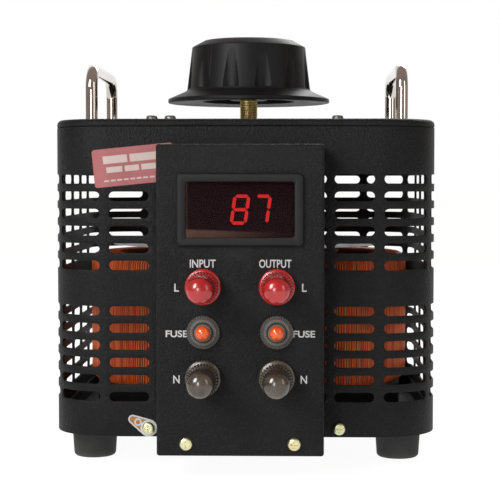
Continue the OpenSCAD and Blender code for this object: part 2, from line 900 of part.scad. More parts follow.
base_tray();
foot_front_left();
foot_front_right();
foot_rear_left();
foot_rear_right();
foot_screws();
case_wrap();
wrap_screws();
top_cover();
cover_screws();
dial_plate();
handle_left();
handle_right();
handle_nuts();
coil_seat();
coil_core();
coil_winding();
clamp_ring();
clamp_bolts();
lower_bush();
upper_bush();
stop_block();
knob();
knob_set_screw();
shaft();
stop_arm();
brush_disc();
brush_holder();
brush_spring();
carbon_brush();
front_panel();
panel_screws();
meter_bezel();
meter_window();
meter_body();
lit_segments();
input_line_base();
input_line_washer();
input_line_cap();
input_neutral_base();
input_neutral_washer();
input_neutral_cap();
output_line_base();
output_line_washer();
output_line_cap();
output_neutral_base();
output_neutral_washer();
output_neutral_cap();
post_studs();
post_insulators();
post_nuts();
input_breaker();
input_breaker_nut();
input_reset_button();
output_breaker();
output_breaker_nut();
output_reset_button();
inner_leads();
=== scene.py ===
"""Looks of a bench variable autotransformer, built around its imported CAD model."""

import math
import random

import bmesh
import bpy
import numpy as np
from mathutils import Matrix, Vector


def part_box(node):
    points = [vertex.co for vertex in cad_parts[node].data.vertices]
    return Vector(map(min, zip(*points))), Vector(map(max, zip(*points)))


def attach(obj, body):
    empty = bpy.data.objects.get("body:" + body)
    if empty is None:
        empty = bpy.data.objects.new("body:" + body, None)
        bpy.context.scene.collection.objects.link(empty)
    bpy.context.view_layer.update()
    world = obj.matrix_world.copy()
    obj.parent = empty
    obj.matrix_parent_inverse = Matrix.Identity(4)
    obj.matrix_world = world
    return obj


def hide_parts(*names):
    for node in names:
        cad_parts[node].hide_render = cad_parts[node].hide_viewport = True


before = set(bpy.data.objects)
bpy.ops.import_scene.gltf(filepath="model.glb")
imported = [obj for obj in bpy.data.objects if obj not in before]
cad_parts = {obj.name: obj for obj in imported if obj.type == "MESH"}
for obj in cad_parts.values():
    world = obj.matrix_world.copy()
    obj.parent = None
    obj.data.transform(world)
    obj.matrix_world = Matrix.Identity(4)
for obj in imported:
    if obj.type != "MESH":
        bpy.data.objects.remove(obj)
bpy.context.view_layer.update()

MM = 0.001


# ------------------------------------------------------------------ places taken from the CAD model

def middle(node):
    """Centre of a CAD node's box."""
    low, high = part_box(node)
    return (low + high) / 2


CASE_LOW, CASE_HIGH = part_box("case_wrap")
LID_LOW, LID_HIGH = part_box("top_cover")
AXIS = Vector((0, middle("shaft").y, 0))
CASE_W = CASE_HIGH.x - CASE_LOW.x
CASE_D = CASE_HIGH.y - CASE_LOW.y
CASE_FRONT = CASE_LOW.y
CORNER_R = 35 * MM
SHEET_T = 1.2 * MM
BOX_EDGE = 1.6 * MM
BOX_LOW, BOX_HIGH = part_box("front_panel")
BOX_FRONT = BOX_LOW.y
METER = middle("meter_bezel")
COIL_LOW, COIL_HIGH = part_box("coil_winding")
BRUSH_TRACK_R = 78 * MM
LID_Z = LID_HIGH.z


# ------------------------------------------------------------------ shader maths

class Signal:
    """A number that varies over a surface. Arithmetic on it adds Math nodes."""

    def __init__(self, finish, socket):
        self.finish = finish
        self.socket = socket

    def math(self, operation, *values):
        settings = {"operation": operation}
        made = self.finish.node("ShaderNodeMath", settings, dict(enumerate(values)))
        return Signal(self.finish, made.outputs[0])

    def __add__(self, other):
        return self.math("ADD", self, other)

    __radd__ = __add__

    def __sub__(self, other):
        return self.math("SUBTRACT", self, other)

    def __rsub__(self, other):
        return self.math("SUBTRACT", other, self)

    def __mul__(self, other):
        return self.math("MULTIPLY", self, other)

    __rmul__ = __mul__

    def __truediv__(self, other):
        return self.math("DIVIDE", self, other)

    def absolute(self):
        return self.math("ABSOLUTE", self)

    def sine(self):
        return self.math("SINE", self)

    def root(self):
        return self.math("SQRT", self)

    def ramp(self, low, high):
        """0 below low, 1 above high and a smooth step between them."""
        settings = {"interpolation_type": "SMOOTHSTEP"}
        inputs = {"Value": self, "From Min": low, "From Max": high}
        made = self.finish.node("ShaderNodeMapRange", settings, inputs)
        return Signal(self.finish, made.outputs["Result"])


class Finish:
    """A material: a Principled shader and the nodes that vary it."""

    def __init__(self, name, colour, roughness, metallic=0.0, **constants):
        self.material = bpy.data.materials.new(name)
        self.material.use_nodes = True
        self.nodes = self.material.node_tree.nodes
        self.links = self.material.node_tree.links
        self.shader = self.nodes["Principled BSDF"]
        self.colour = (*colour, 1.0)
        self.set("Base Color", self.colour)
        self.set("Roughness", roughness)
        self.set("Metallic", metallic)
        for key, value in constants.items():
            self.set(key.replace("_", " "), value)
        self.material.diffuse_color = self.colour

    def plug(self, socket, value):
        if isinstance(value, Signal):
            value = value.socket
        if isinstance(value, bpy.types.NodeSocket):
            self.links.new(value, socket)
        else:
            socket.default_value = value

    def node(self, kind, settings=None, inputs=None):
        made = self.nodes.new(kind)
        for key, value in (settings or {}).items():
            setattr(made, key, value)
        for key, value in (inputs or {}).items():
            self.plug(made.inputs[key], value)
        return made

    def set(self, socket, value):
        self.plug(self.shader.inputs[socket], value)

    def place(self):
        """The surface point in the row's frame."""
        return self.node("ShaderNodeTexCoord").outputs["Object"]

    def parts(self, vector=None):
        """X, Y and Z of a vector, the surface point if none is given."""
        split = self.node("ShaderNodeSeparateXYZ", None, {0: vector or self.place()})
        return [Signal(self, out) for out in split.outputs]

    def scaled(self, scale):
        inputs = {"Vector": self.place(), "Scale": scale}
        return self.node("ShaderNodeMapping", None, inputs).outputs[0]

    def noise(self, scale, detail=3.0, roughness=0.5, stretch=(1, 1, 1)):
        inputs = {"Vector": self.scaled(stretch), "Scale": scale, "Detail": detail, "Roughness": roughness}
        return Signal(self, self.node("ShaderNodeTexNoise", None, inputs).outputs["Fac"])

    def cells(self, scale, feature="F1", stretch=(1, 1, 1)):
        inputs = {"Vector": self.scaled(stretch), "Scale": scale}
        settings = {"feature": feature}
        return Signal(self, self.node("ShaderNodeTexVoronoi", settings, inputs).outputs["Distance"])

    def radius(self):
        """Distance from the knob's axis."""
        x, y, _ = self.parts()
        return (x * x + (y - AXIS.y) * (y - AXIS.y)).root()

    def edges(self, low, high):
        """High on worn outer edges."""
        geometry = self.node("ShaderNodeNewGeometry")
        return Signal(self, geometry.outputs["Pointiness"]).ramp(low, high)

    def mix(self, factor, low, high):
        """Colour between two colours or colour sockets."""
        made = self.node("ShaderNodeMix", {"data_type": "RGBA"})
        self.plug(made.inputs[0], factor)
        for socket, value in ((made.inputs[6], low), (made.inputs[7], high)):
            self.plug(socket, value if not isinstance(value, tuple) or len(value) == 4 else (*value, 1.0))
        return made.outputs[2]

    def bump(self, height, strength, distance):
        inputs = {"Height": height, "Strength": strength, "Distance": distance}
        self.set("Normal", self.node("ShaderNodeBump", None, inputs).outputs[0])


# ------------------------------------------------------------------ finishes

def cloudy(name, dark, light, cloud, rough, grain, bump, metallic=0.0, ramp=None, **constants):
    """Finish that drifts between two colours. cloud and grain are the scale, detail and roughness of a
    noise, rough is the least roughness and what the cloud adds, and bump is its strength and height."""
    f = Finish(name, dark, rough[0], metallic, **constants)
    drift = f.noise(*cloud)
    f.set("Base Color", f.mix(drift.ramp(*ramp) if ramp else drift, dark, light))
    f.set("Roughness", rough[0] + drift * rough[1])
    f.bump(f.noise(*grain), *bump)
    return f.material


def powder_coat():
    """Black powder coat with a fine wrinkle that catches the light, and lighter specks painted in as glints.
    """
    f = Finish("powder_coat_black", (0.004, 0.004, 0.0043), 0.5, Specular_IOR_Level=0.16)
    grain = f.noise(1000, 4, 0.62)
    lumps = f.cells(860, "SMOOTH_F1")
    cloud = f.noise(22, 3, 0.6)
    worn = f.edges(0.53, 0.62) * f.noise(60, 4, 0.7).ramp(0.45, 0.65)
    base = f.mix(cloud.ramp(0.3, 0.7), (0.0032, 0.0032, 0.0035), (0.0052, 0.0052, 0.0055))
    # Painted glints: lighter specks of the grain are painted into the base colour in place of highlights on
    # the wrinkle.
    base = f.mix(grain.ramp(0.5, 0.7) * 0.55, base, (0.022, 0.022, 0.022))
    f.set("Base Color", f.mix(worn * 0.25, base, (0.04, 0.04, 0.04)))
    f.set("Roughness", 0.42 + grain * 0.16 + cloud * 0.06)
    f.bump(grain * 0.8 + lumps * 0.9, 0.9, 0.4 * MM)
    return f.material


def knob_plastic():
    f = Finish("knob_moulded_black", (0.004, 0.004, 0.0044), 0.45, Specular_IOR_Level=0.17)
    fine = f.noise(1400, 3, 0.6)
    dust = f.noise(35, 4, 0.65)
    worn = f.edges(0.53, 0.63) * f.noise(80, 3, 0.6).ramp(0.4, 0.65)
    base = f.mix(dust.ramp(0.4, 0.75), (0.0045, 0.0045, 0.0048), (0.0085, 0.0085, 0.009))
    f.set("Base Color", f.mix(worn * 0.3, base, (0.05, 0.05, 0.052)))
    f.set("Roughness", 0.4 + fine * 0.08 + dust.ramp(0.4, 0.8) * 0.12)
    f.bump(fine + dust * 0.3, 0.12, 0.2 * MM)
    return f.material


def bezel_plastic():
    return cloudy("bezel_satin_black", (0.0055, 0.0055, 0.0057), (0.0095, 0.0095, 0.0097), (50, 3, 0.6),
                  (0.38, 0.12), (1800, 2, 0.5), (0.14, 0.1 * MM), Specular_IOR_Level=0.2)


def display_board():
    f = Finish("display_board", (0.004, 0.001, 0.001), 0.7, Specular_IOR_Level=0.05)
    cloud = f.noise(120, 3, 0.6)
    f.set("Base Color", f.mix(cloud, (0.004, 0.001, 0.0015), (0.008, 0.002, 0.003)))
    f.set("Roughness", 0.6 + cloud * 0.2)
    return f.material


def dull_bronze():
    return cloudy("dull_bronze", (0.12, 0.07, 0.055), (0.26, 0.17, 0.13), (160, 4, 0.65), (0.4, 0.2),
                  (1200, 3, 0.6), (0.1, 0.06 * MM), metallic=0.6)


def knurled_brass():
    """Brass with a diamond pattern of grooves, tarnished in the grooves."""
    f = Finish("knurled_brass", (0.5, 0.38, 0.2), 0.34, 1.0)
    x, y, z = f.parts()
    turn = (y - AXIS.y).math("ARCTAN2", x) * 20
    climb = z * (2 * math.pi / (2.2 * MM))
    diamond = ((turn + climb).sine() * (turn - climb).sine()).absolute()
    tarnish = f.noise(150, 4, 0.65)
    groove = 1 - diamond.ramp(0.05, 0.4)
    bright = f.mix(tarnish, (0.88, 0.68, 0.26), (0.6, 0.44, 0.16))
    f.set("Base Color", f.mix(groove * 0.6, bright, (0.2, 0.13, 0.05)))
    f.set("Roughness", 0.26 + groove * 0.3)
    f.bump(diamond, 0.6, 0.25 * MM)
    return f.material


def foot_rubber():
    f = Finish("foot_rubber", (0.03, 0.03, 0.03), 0.78)
    pores = f.noise(1100, 4, 0.7)
    dust = f.noise(40, 4, 0.7)
    low = f.parts()[2]
    scuffed = (1 - low.ramp(0.5 * MM, 5 * MM)) * 0.6 + dust.ramp(0.45, 0.7) * 0.4
    f.set("Base Color", f.mix(scuffed, (0.018, 0.018, 0.018), (0.042, 0.041, 0.039)))
    f.set("Roughness", 0.7 + pores * 0.15)
    f.bump(pores, 0.25, 0.2 * MM)
    return f.material


def chrome():
    f = Finish("chrome_rod", (0.8, 0.78, 0.76), 0.08, 1.0)
    rub = f.noise(260, 3, 0.6, (1, 0.06, 1))
    film = f.noise(24, 3, 0.6)
    f.set("Base Color", f.mix(film.ramp(0.3, 0.75), (0.68, 0.64, 0.6), (0.5, 0.44, 0.4)))
    f.set("Roughness", 0.03 + film * 0.05 + rub.ramp(0.55, 0.8) * 0.08)
    f.bump(rub, 0.03, 0.05 * MM)
    return f.material


def plated_zinc():
    f = Finish("yellow_zinc", (0.72, 0.6, 0.3), 0.3, 1.0)
    bloom = f.noise(420, 3, 0.6)
    tint = f.mix(bloom.ramp(0.35, 0.6), (0.78, 0.66, 0.33), (0.62, 0.7, 0.46))
    f.set("Base Color", f.mix(f.noise(700, 3, 0.6).ramp(0.55, 0.75), tint, (0.8, 0.55, 0.42)))
    f.set("Roughness", 0.22 + bloom * 0.2)
    f.bump(f.noise(2200, 2, 0.5), 0.08, 0.05 * MM)
    return f.material


def bare_steel():
    return cloudy("bare_steel", (0.55, 0.55, 0.55), (0.34, 0.32, 0.3), (120, 4, 0.65), (0.28, 0.25),
                  (1500, 3, 0.6), (0.08, 0.05 * MM), metallic=1.0, ramp=(0.4, 0.7))


def dark_steel():
    return cloudy("dark_steel", (0.2, 0.19, 0.18), (0.09, 0.08, 0.07), (300, 4, 0.65), (0.34, 0.2),
                  (1500, 3, 0.6), (0.08, 0.05 * MM), metallic=1.0, ramp=(0.4, 0.7))


def core_steel():
    f = Finish("core_laminations", (0.2, 0.2, 0.21), 0.45, 1.0)
    layers = (f.radius() * (2 * math.pi / (0.6 * MM))).sine()
    stain = f.noise(60, 3, 0.6)
    f.set("Base Color", f.mix(stain, (0.16, 0.16, 0.17), (0.28, 0.27, 0.26)))
    f.set("Roughness", 0.4 + stain * 0.2)
    f.bump(layers, 0.3, 0.1 * MM)
    return f.material


def enamelled_copper():
    """Varnished wire, bared and polished where the brush runs."""
    f = Finish("enamelled_copper", (0.7, 0.12, 0.03), 0.3, 0.35, Coat_Weight=0.15, Coat_Roughness=0.2)
    on_track = 1 - (f.radius() - BRUSH_TRACK_R).absolute().ramp(7 * MM, 9 * MM)
    track = on_track * f.parts()[2].ramp(COIL_HIGH.z - 2 * MM, COIL_HIGH.z - 1 * MM)
    varnish = f.noise(45, 4, 0.65)
    turn = f.noise(420, 2, 0.5, (1, 1, 0.05))
    wire = f.mix(turn.ramp(0.35, 0.65), (0.66, 0.075, 0.014), (0.9, 0.19, 0.035))
    wire = f.mix(varnish.ramp(0.5, 0.8), wire, (0.32, 0.045, 0.012))
    f.set("Base Color", f.mix(track, wire, (0.86, 0.42, 0.24)))
    f.set("Metallic", 0.2 + track * 0.8)
    f.set("Roughness", 0.36 + varnish * 0.12 - track * 0.16)
    f.bump(f.noise(900, 3, 0.6), 0.1, 0.1 * MM)
    return f.material


def winding_paper():
    f = Finish("varnished_paper", (0.03, 0.012, 0.007), 0.5)
    fibre = f.noise(500, 4, 0.7, (1, 1, 0.2))
    f.set("Base Color", f.mix(fibre, (0.018, 0.008, 0.005), (0.05, 0.022, 0.012)))
    f.set("Roughness", 0.42 + fibre * 0.2)
    f.bump(fibre, 0.25, 0.2 * MM)
    return f.material


def laminated_board():
    f = Finish("phenolic_board", (0.12, 0.06, 0.03), 0.45)
    weave = f.cells(900, "F1", (1, 1, 0.3))
    cloud = f.noise(40, 3, 0.6)
    f.set("Base Color", f.mix(cloud, (0.09, 0.045, 0.02), (0.17, 0.09, 0.045)))
    f.set("Roughness", 0.38 + weave * 0.25)
    f.bump(weave, 0.2, 0.15 * MM)
    return f.material


def turned_brass():
    f = Finish("turned_brass", (0.72, 0.52, 0.2), 0.3, 1.0)
    tool = (f.parts()[2] * (2 * math.pi / (0.45 * MM))).sine()
    tarnish = f.noise(130, 4, 0.65)
    f.set("Base Color", f.mix(tarnish.ramp(0.4, 0.7), (0.78, 0.58, 0.24), (0.42, 0.3, 0.12)))
    f.set("Roughness", 0.24 + tarnish * 0.22)
    f.bump(tool + f.noise(800, 3, 0.6), 0.1, 0.06 * MM)
    return f.material


def turned_aluminium():
    f = Finish("turned_aluminium", (0.72, 0.73, 0.75), 0.3, 1.0)
    rings = (f.radius() * (2 * math.pi / (0.7 * MM))).sine()
    haze = f.noise(50, 3, 0.6)
    f.set("Base Color", f.mix(haze, (0.66, 0.67, 0.69), (0.8, 0.81, 0.82)))
    f.set("Roughness", 0.26 + haze * 0.2)
    f.bump(rings, 0.12, 0.06 * MM)
    return f.material


def dial_face():
    """Satin aluminium plate printed with a graduated ring."""
    f = Finish("dial_face", (0.62, 0.62, 0.63), 0.38, 0.85)
    haze = f.noise(60, 3, 0.6)
    grain = f.noise(900, 2, 0.5, (1, 0.04, 1))
    f.set("Base Color", f.mix(haze, (0.56, 0.56, 0.57), (0.7, 0.7, 0.7)))
    f.set("Roughness", 0.32 + grain * 0.16)
    f.bump(grain, 0.08, 0.05 * MM)
    return f.material


def brush_carbon():
    return cloudy("brush_carbon", (0.012, 0.012, 0.013), (0.04, 0.04, 0.042), (1500, 4, 0.7), (0.5, 0.2),
                  (1500, 4, 0.7), (0.2, 0.1 * MM), metallic=0.2)


def window_filter():
    """Dark red filter of the meter, with a reflection painted in as paler colour along its lower and left
    edges.
    """
    f = Finish("window_filter", (0.006, 0.0004, 0.0012), 0.08, Alpha=0.5, Specular_IOR_Level=0.14)
    x, _, z = f.parts()
    low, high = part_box("meter_window")
    across = (x - low.x) / (high.x - low.x)
    up = (z - low.z) / (high.z - low.z)
    depth = 0.15 - across * 0.07
    band = 1 - (up - depth).ramp(-0.025, 0.02)
    side = 1 - across.ramp(0.008, 0.028)
    # Painted reflection: the lower band and the left edge get a paler colour and more opacity. The smear
    # noise varies how strong it is and also varies the roughness.
    sheen = band * (0.95 - across.ramp(0.1, 0.95) * 0.85)
    smear_and_sheen = f.noise(90, 3, 0.6)
    painted_reflection = sheen * (0.6 + smear_and_sheen * 0.5) + side * 0.5
    f.set("Base Color", f.mix(painted_reflection.math("MINIMUM", painted_reflection, 1.0), (0.008, 0.0006, 0.0018), (0.085, 0.042, 0.03)))
    f.set("Roughness", 0.06 + smear_and_sheen * 0.06)
    f.set("Alpha", 0.5 + painted_reflection * 0.4)
    return f.material


def lit_segment():
    f = Finish("lit_segment", (0.5, 0.02, 0.015), 0.35)
    spread = f.noise(500, 2, 0.5)
    f.set("Emission Color", f.mix(spread, (1.0, 0.018, 0.016), (1.0, 0.035, 0.028)))
    f.set("Emission Strength", 2.0)
    return f.material


def post_plastic(name, dark, light, roughness):
    f = Finish(name, dark, roughness, Coat_Weight=0.6, Coat_Roughness=0.12)
    swirl = f.noise(120, 4, 0.6)
    handled = f.noise(300, 3, 0.6)
    f.set("Base Color", f.mix(swirl.ramp(0.3, 0.75), dark, light))
    f.set("Roughness", roughness - 0.04 + handled * 0.12)
    f.bump(handled, 0.05, 0.1 * MM)
    return f.material


def breaker_plastic():
    f = Finish("breaker_moulding", (0.06, 0.056, 0.05), 0.5, Specular_IOR_Level=0.3)
    fine = f.noise(1200, 3, 0.6)
    smudge = f.noise(90, 3, 0.6)
    worn = f.edges(0.52, 0.62)
    base = f.mix(smudge, (0.03, 0.028, 0.025), (0.055, 0.051, 0.046))
    f.set("Base Color", f.mix(worn * 0.8, base, (0.26, 0.24, 0.21)))
    f.set("Roughness", 0.44 + fine * 0.12)
    f.bump(fine, 0.15, 0.1 * MM)
    return f.material


def lead_insulation():
    return cloudy("lead_insulation", (0.15, 0.01, 0.01), (0.28, 0.025, 0.02), (150, 3, 0.6), (0.34, 0.15),
                  (900, 2, 0.5), (0.06, 0.1 * MM))


def printed_paper(name, colour, shade):
    f = Finish(name, colour, 0.45)
    fibre = f.noise(700, 4, 0.7)
    fade = f.noise(45, 3, 0.6)
    f.set("Base Color", f.mix(fade.ramp(0.3, 0.75), colour, shade))
    f.set("Roughness", 0.38 + fibre * 0.15)
    f.bump(fibre, 0.08, 0.08 * MM)
    return f.material


def floor_paint():
    """White ground, lit mostly by itself so that a shadow on it stays faint."""
    f = Finish("floor_paint", (0.2, 0.2, 0.2), 0.8, Specular_IOR_Level=0.0)
    cloud = f.noise(3, 3, 0.5)
    f.set("Base Color", f.mix(cloud, (0.13, 0.13, 0.13), (0.14, 0.14, 0.14)))
    f.set("Emission Color", (1.0, 1.0, 1.0, 1.0))
    f.set("Emission Strength", 0.95)
    return f.material


POWDER = powder_coat()
KNOB = knob_plastic()
BEZEL = bezel_plastic()
RUBBER = foot_rubber()
CHROME = chrome()
ZINC = plated_zinc()
STEEL = bare_steel()
DARK_STEEL = dark_steel()
CORE = core_steel()
COPPER = enamelled_copper()
PAPER = winding_paper()
BOARD = laminated_board()
BRASS = turned_brass()
KNURLED = knurled_brass()
BRONZE = dull_bronze()
DISPLAY = display_board()
ALUMINIUM = turned_aluminium()
DIAL = dial_face()
CARBON = brush_carbon()
FILTER = window_filter()
SEGMENT = lit_segment()
RED_POST = post_plastic("post_red", (0.28, 0.004, 0.005), (0.4, 0.008, 0.009), 0.24)
BLACK_POST = post_plastic("post_black", (0.022, 0.016, 0.011), (0.08, 0.062, 0.044), 0.22)
ORANGE = post_plastic("button_orange", (0.55, 0.06, 0.003), (0.68, 0.095, 0.006), 0.2)
BREAKER = breaker_plastic()
LEAD = lead_insulation()
SEAL = printed_paper("seal_paper", (0.27, 0.064, 0.068), (0.32, 0.084, 0.088))
SEAL_PRINT = printed_paper("seal_print", (0.42, 0.34, 0.31), (0.47, 0.39, 0.36))
WHITE_PRINT = printed_paper("white_print", (0.42, 0.42, 0.42), (0.48, 0.48, 0.48))
TAG_ORANGE = printed_paper("tag_orange", (0.27, 0.1, 0.022), (0.33, 0.13, 0.032))
DARK_PRINT = printed_paper("dark_print", (0.02, 0.02, 0.02), (0.035, 0.035, 0.035))

NODE_FINISH = {
    POWDER: "base_tray case_wrap top_cover front_panel",
    RUBBER: "foot_front_left foot_front_right foot_rear_left foot_rear_right",
    CHROME: "handle_left handle_right",
    ZINC: "wrap_screws handle_nuts panel_screws",
    STEEL: "foot_screws clamp_bolts knob_set_screw stop_arm brush_spring",
    DARK_STEEL: "cover_screws",
    DIAL: "dial_plate",
    BOARD: "clamp_ring stop_block post_insulators",
    CORE: "coil_core",
    COPPER: "coil_winding",
    KNURLED: "shaft",
    BRONZE: "brush_holder",
    DISPLAY: "meter_body",
    BRASS: "lower_bush upper_bush post_studs post_nuts input_line_washer"
           " input_neutral_washer output_line_washer output_neutral_washer",
    ALUMINIUM: "brush_disc",
    CARBON: "carbon_brush",
    KNOB: "knob",
    BEZEL: "meter_bezel coil_seat",
    FILTER: "meter_window",
    SEGMENT: "lit_segments",
    RED_POST: "input_line_base input_line_cap output_line_base output_line_cap",
    BLACK_POST: "input_neutral_base input_neutral_cap output_neutral_base output_neutral_cap",
    BREAKER: "input_breaker input_breaker_nut output_breaker output_breaker_nut",
    ORANGE: "input_reset_button output_reset_button",
    LEAD: "inner_leads",
}
for finish, names in NODE_FINISH.items():
    for name in names.split():
        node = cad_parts[name]
        if not node.material_slots:
            node.data.materials.append(finish)
        for place in node.material_slots:
            place.material = finish


# ------------------------------------------------------------------ mesh helpers

def piece(name, points, faces, finish, body="case", replaces=(), sharp=35):
    """A mesh piece in the row's frame that rides on a body."""
    mesh = bpy.data.meshes.new(name)
    mesh.from_pydata([tuple(p) for p in points], [], faces)
    made = bpy.data.objects.new(name, mesh)
    bpy.context.scene.collection.objects.link(made)
    tidy = bmesh.new()
    tidy.from_mesh(mesh)
    bmesh.ops.remove_doubles(tidy, verts=tidy.verts, dist=1e-6)
    bmesh.ops.recalc_face_normals(tidy, faces=tidy.faces)
    tidy.to_mesh(mesh)
    tidy.free()
    mesh.materials.append(finish)
    smooth(mesh, sharp)
    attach(made, body)
    if replaces:
        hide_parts(*replaces)
    return made


def smooth(mesh, degrees):
    """Smooth shading with sharp edges above an angle."""
    mesh.shade_smooth()
    mesh.set_sharp_from_angle(angle=math.radians(degrees))


def settle(made, sharp=35):
    """Turns a piece's modifiers into its mesh."""
    bpy.context.view_layer.update()
    graph = bpy.context.evaluated_depsgraph_get()
    mesh = bpy.data.meshes.new_from_object(made.evaluated_get(graph))
    old = made.data
    made.modifiers.clear()
    made.data = mesh
    bpy.data.meshes.remove(old)
    smooth(made.data, sharp)
    return made


def bevel(made, width, segments=2, angle=40):
    """Rounds a piece's sharp edges."""
    change = made.modifiers.new("edge", "BEVEL")
    change.width = width
    change.segments = segments
    change.limit_method = "ANGLE"
    change.angle_limit = math.radians(angle)
    change.harden_normals = False
    return settle(made)


def loft(loops, closed=False, cap=True):
    """Points and faces of a skin over loops of equal length. closed joins the last loop to the first."""
    size = len(loops[0])
    points = [p for loop in loops for p in loop]
    count = len(loops)
    faces = []
    for i in range(count if closed else count - 1):
        a, b = i * size, (i + 1) % count * size
        faces += [(a + k, a + (k + 1) % size, b + (k + 1) % size, b + k) for k in range(size)]
    if cap and not closed:
        faces.append(tuple(reversed(range(size))))
        faces.append(tuple(range((count - 1) * size, count * size)))
    return points, faces


def round_outline(width, height, radius, per_corner=8):
    """Rectangle with round corners, anticlockwise, as (across, up) pairs."""
    points = []
    for cx, cy, start in ((1, -1, -90), (1, 1, 0), (-1, 1, 90), (-1, -1, 180)):
        for k in range(per_corner + 1):
            a = math.radians(start + 90 * k / per_corner)
            points.append((cx * (width / 2 - radius) + radius * math.cos(a),
                           cy * (height / 2 - radius) + radius * math.sin(a)))
    return points


def arc(cx, cy, radius, start, end, steps):
    """Points of an arc, angles in degrees."""
    angles = [math.radians(start + (end - start) * i / steps) for i in range(steps + 1)]
    return [(cx + radius * math.cos(a), cy + radius * math.sin(a)) for a in angles]


def from_box(centre_x, centre_z):
    """Maps (across, up, out) on the face of the terminal box to the row's frame."""
    return lambda x, y, out: (centre_x + x, BOX_FRONT - out, centre_z + y)


def from_floor(centre_x, centre_y):
    """Maps (across, back, up) at an upright axis to the row's frame."""
    return lambda x, y, up: (centre_x + x, centre_y + y, up)


def revolve(profile, place, steps=72):
    """Skin of a (radius, height) profile turned about an axis."""
    loops = []
    for radius, height in profile:
        ring = [2 * math.pi * k / steps for k in range(steps)]
        loops.append([place(radius * math.cos(a), radius * math.sin(a), height) for a in ring])
    return loft(loops)


def join_skins(skins):
    """Several skins as one set of points and faces."""
    points, faces = [], []
    for some_points, some_faces in skins:
        base = len(points)
        points += list(some_points)
        faces += [tuple(base + i for i in face) for face in some_faces]
    return points, faces


# ------------------------------------------------------------------ camera, light and floor

LENS = 106.85
CAMERA_BACK = 881 * MM
CAMERA_SIDE = 27.5 * MM
CAMERA_UP = 171.5 * MM
AIM = Vector((-40 / 1484, 1, -68 / 1484))


def make_camera():
    data = bpy.data.cameras.new("camera")
    data.lens = LENS
    data.sensor_width = 36
    made = bpy.data.objects.new("camera", data)
    made.location = (CAMERA_SIDE, CASE_FRONT - CAMERA_BACK, CAMERA_UP)
    made.rotation_euler = AIM.to_track_quat("-Z", "Y").to_euler()
    bpy.context.scene.collection.objects.link(made)
    bpy.context.scene.camera = made


def area_light(name, place, target, size, watts, tint=(1, 1, 1)):
    data = bpy.data.lights.new(name, "AREA")
    data.shape = "RECTANGLE"
    data.size, data.size_y = size
    data.energy = watts
    data.color = tint
    made = bpy.data.objects.new(name, data)
    made.location = place
    made.rotation_euler = (Vector(target) - Vector(place)).to_track_quat("-Z", "Y").to_euler()
    bpy.context.scene.collection.objects.link(made)


def make_studio():
    """White behind the object, dim and warm elsewhere, so that bright metal shows dark lines."""
    world = bpy.data.worlds.new("studio")
    world.use_nodes = True
    nodes, links = world.node_tree.nodes, world.node_tree.links
    split = nodes.new("ShaderNodeSeparateXYZ")
    links.new(nodes.new("ShaderNodeTexCoord").outputs["Generated"], split.inputs[0])
    ramp = nodes.new("ShaderNodeValToRGB")
    ramp.color_ramp.elements[0].position = 0.5
    ramp.color_ramp.elements[0].color = (0.3, 0.25, 0.22, 1)
    ramp.color_ramp.elements[1].position = 0.78
    ramp.color_ramp.elements[1].color = (1, 1, 1, 1)
    links.new(split.outputs["Y"], ramp.inputs[0])
    links.new(ramp.outputs["Color"], nodes["Background"].inputs["Color"])
    nodes["Background"].inputs["Strength"].default_value = 1.0
    bpy.context.scene.world = world
    bpy.context.scene.view_settings.view_transform = "Standard"
    area_light("key", (-0.9, -1.2, 1.0), (0, 0, 0.12), (0.5, 0.8), 22)
    area_light("fill", (1.2, -1.0, 0.7), (0, 0, 0.1), (0.4, 0.9), 3)
    area_light("front", (-0.35, -1.6, 0.35), (0, 0, 0.12), (0.3, 0.5), 5)
    area_light("rim", (0.3, 1.2, 1.1), (0, 0, 0.15), (1.0, 0.6), 10)
    half = 30
    corners = [(-half, -half, 0), (half, -half, 0), (half, half, 0), (-half, half, 0)]
    mesh = bpy.data.meshes.new("floor")
    mesh.from_pydata(corners, [], [(0, 1, 2, 3)])
    mesh.materials.append(floor_paint())
    floor = bpy.data.objects.new("floor", mesh)
    bpy.context.scene.collection.objects.link(floor)


# ------------------------------------------------------------------ case

SLOT_SHIFT = -1.3 * MM
SLOT_LEN = 31.3 * MM
SLOT_STEP = 36.5 * MM
SLOT_FIRST = 84.8 * MM
SLOTS = [(43.2 * MM, 50.6 * MM), (55.3 * MM, 79.1 * MM)]
SLOTS += [(SLOT_FIRST + SLOT_STEP * i, SLOT_FIRST + SLOT_LEN + SLOT_STEP * i) for i in range(9)]
SLOT_H = 5.6 * MM
ROW_STEP = 10.3 * MM
ROWS = 6
UPPER_ROWS_Z = CASE_LOW.z + 154.1 * MM
LOWER_ROWS_Z = CASE_LOW.z + 75.4 * MM
WINDOW_HALF = 39 * MM
FRONT_FLAT = CASE_W / 2 - CORNER_R
SIDE_FLAT = CASE_D - 2 * CORNER_R
ARC_LEN = CORNER_R * math.pi / 2
HALF_WAY = 2 * FRONT_FLAT + SIDE_FLAT + 2 * ARC_LEN


def round_case(s, z, out=0.0):
    """Point on the case at a distance s round it from the middle of its front."""
    side = 1 if s >= 0 else -1
    s = abs(s)
    x_mid, y_front, y_rear = FRONT_FLAT, CASE_FRONT + CORNER_R, CASE_HIGH.y - CORNER_R
    r = CORNER_R + out
    if s <= FRONT_FLAT:
        x, y = s, CASE_FRONT - out
    elif s <= FRONT_FLAT + ARC_LEN:
        a = (s - FRONT_FLAT) / CORNER_R
        x, y = x_mid + r * math.sin(a), y_front - r * math.cos(a)
    elif s <= FRONT_FLAT + ARC_LEN + SIDE_FLAT:
        x, y = CASE_W / 2 + out, y_front + s - FRONT_FLAT - ARC_LEN
    elif s <= FRONT_FLAT + 2 * ARC_LEN + SIDE_FLAT:
        a = (s - FRONT_FLAT - ARC_LEN - SIDE_FLAT) / CORNER_R
        x, y = x_mid + r * math.cos(a), y_rear + r * math.sin(a)
    else:
        x, y = HALF_WAY - s, CASE_HIGH.y + out
    return (side * x, y, z)


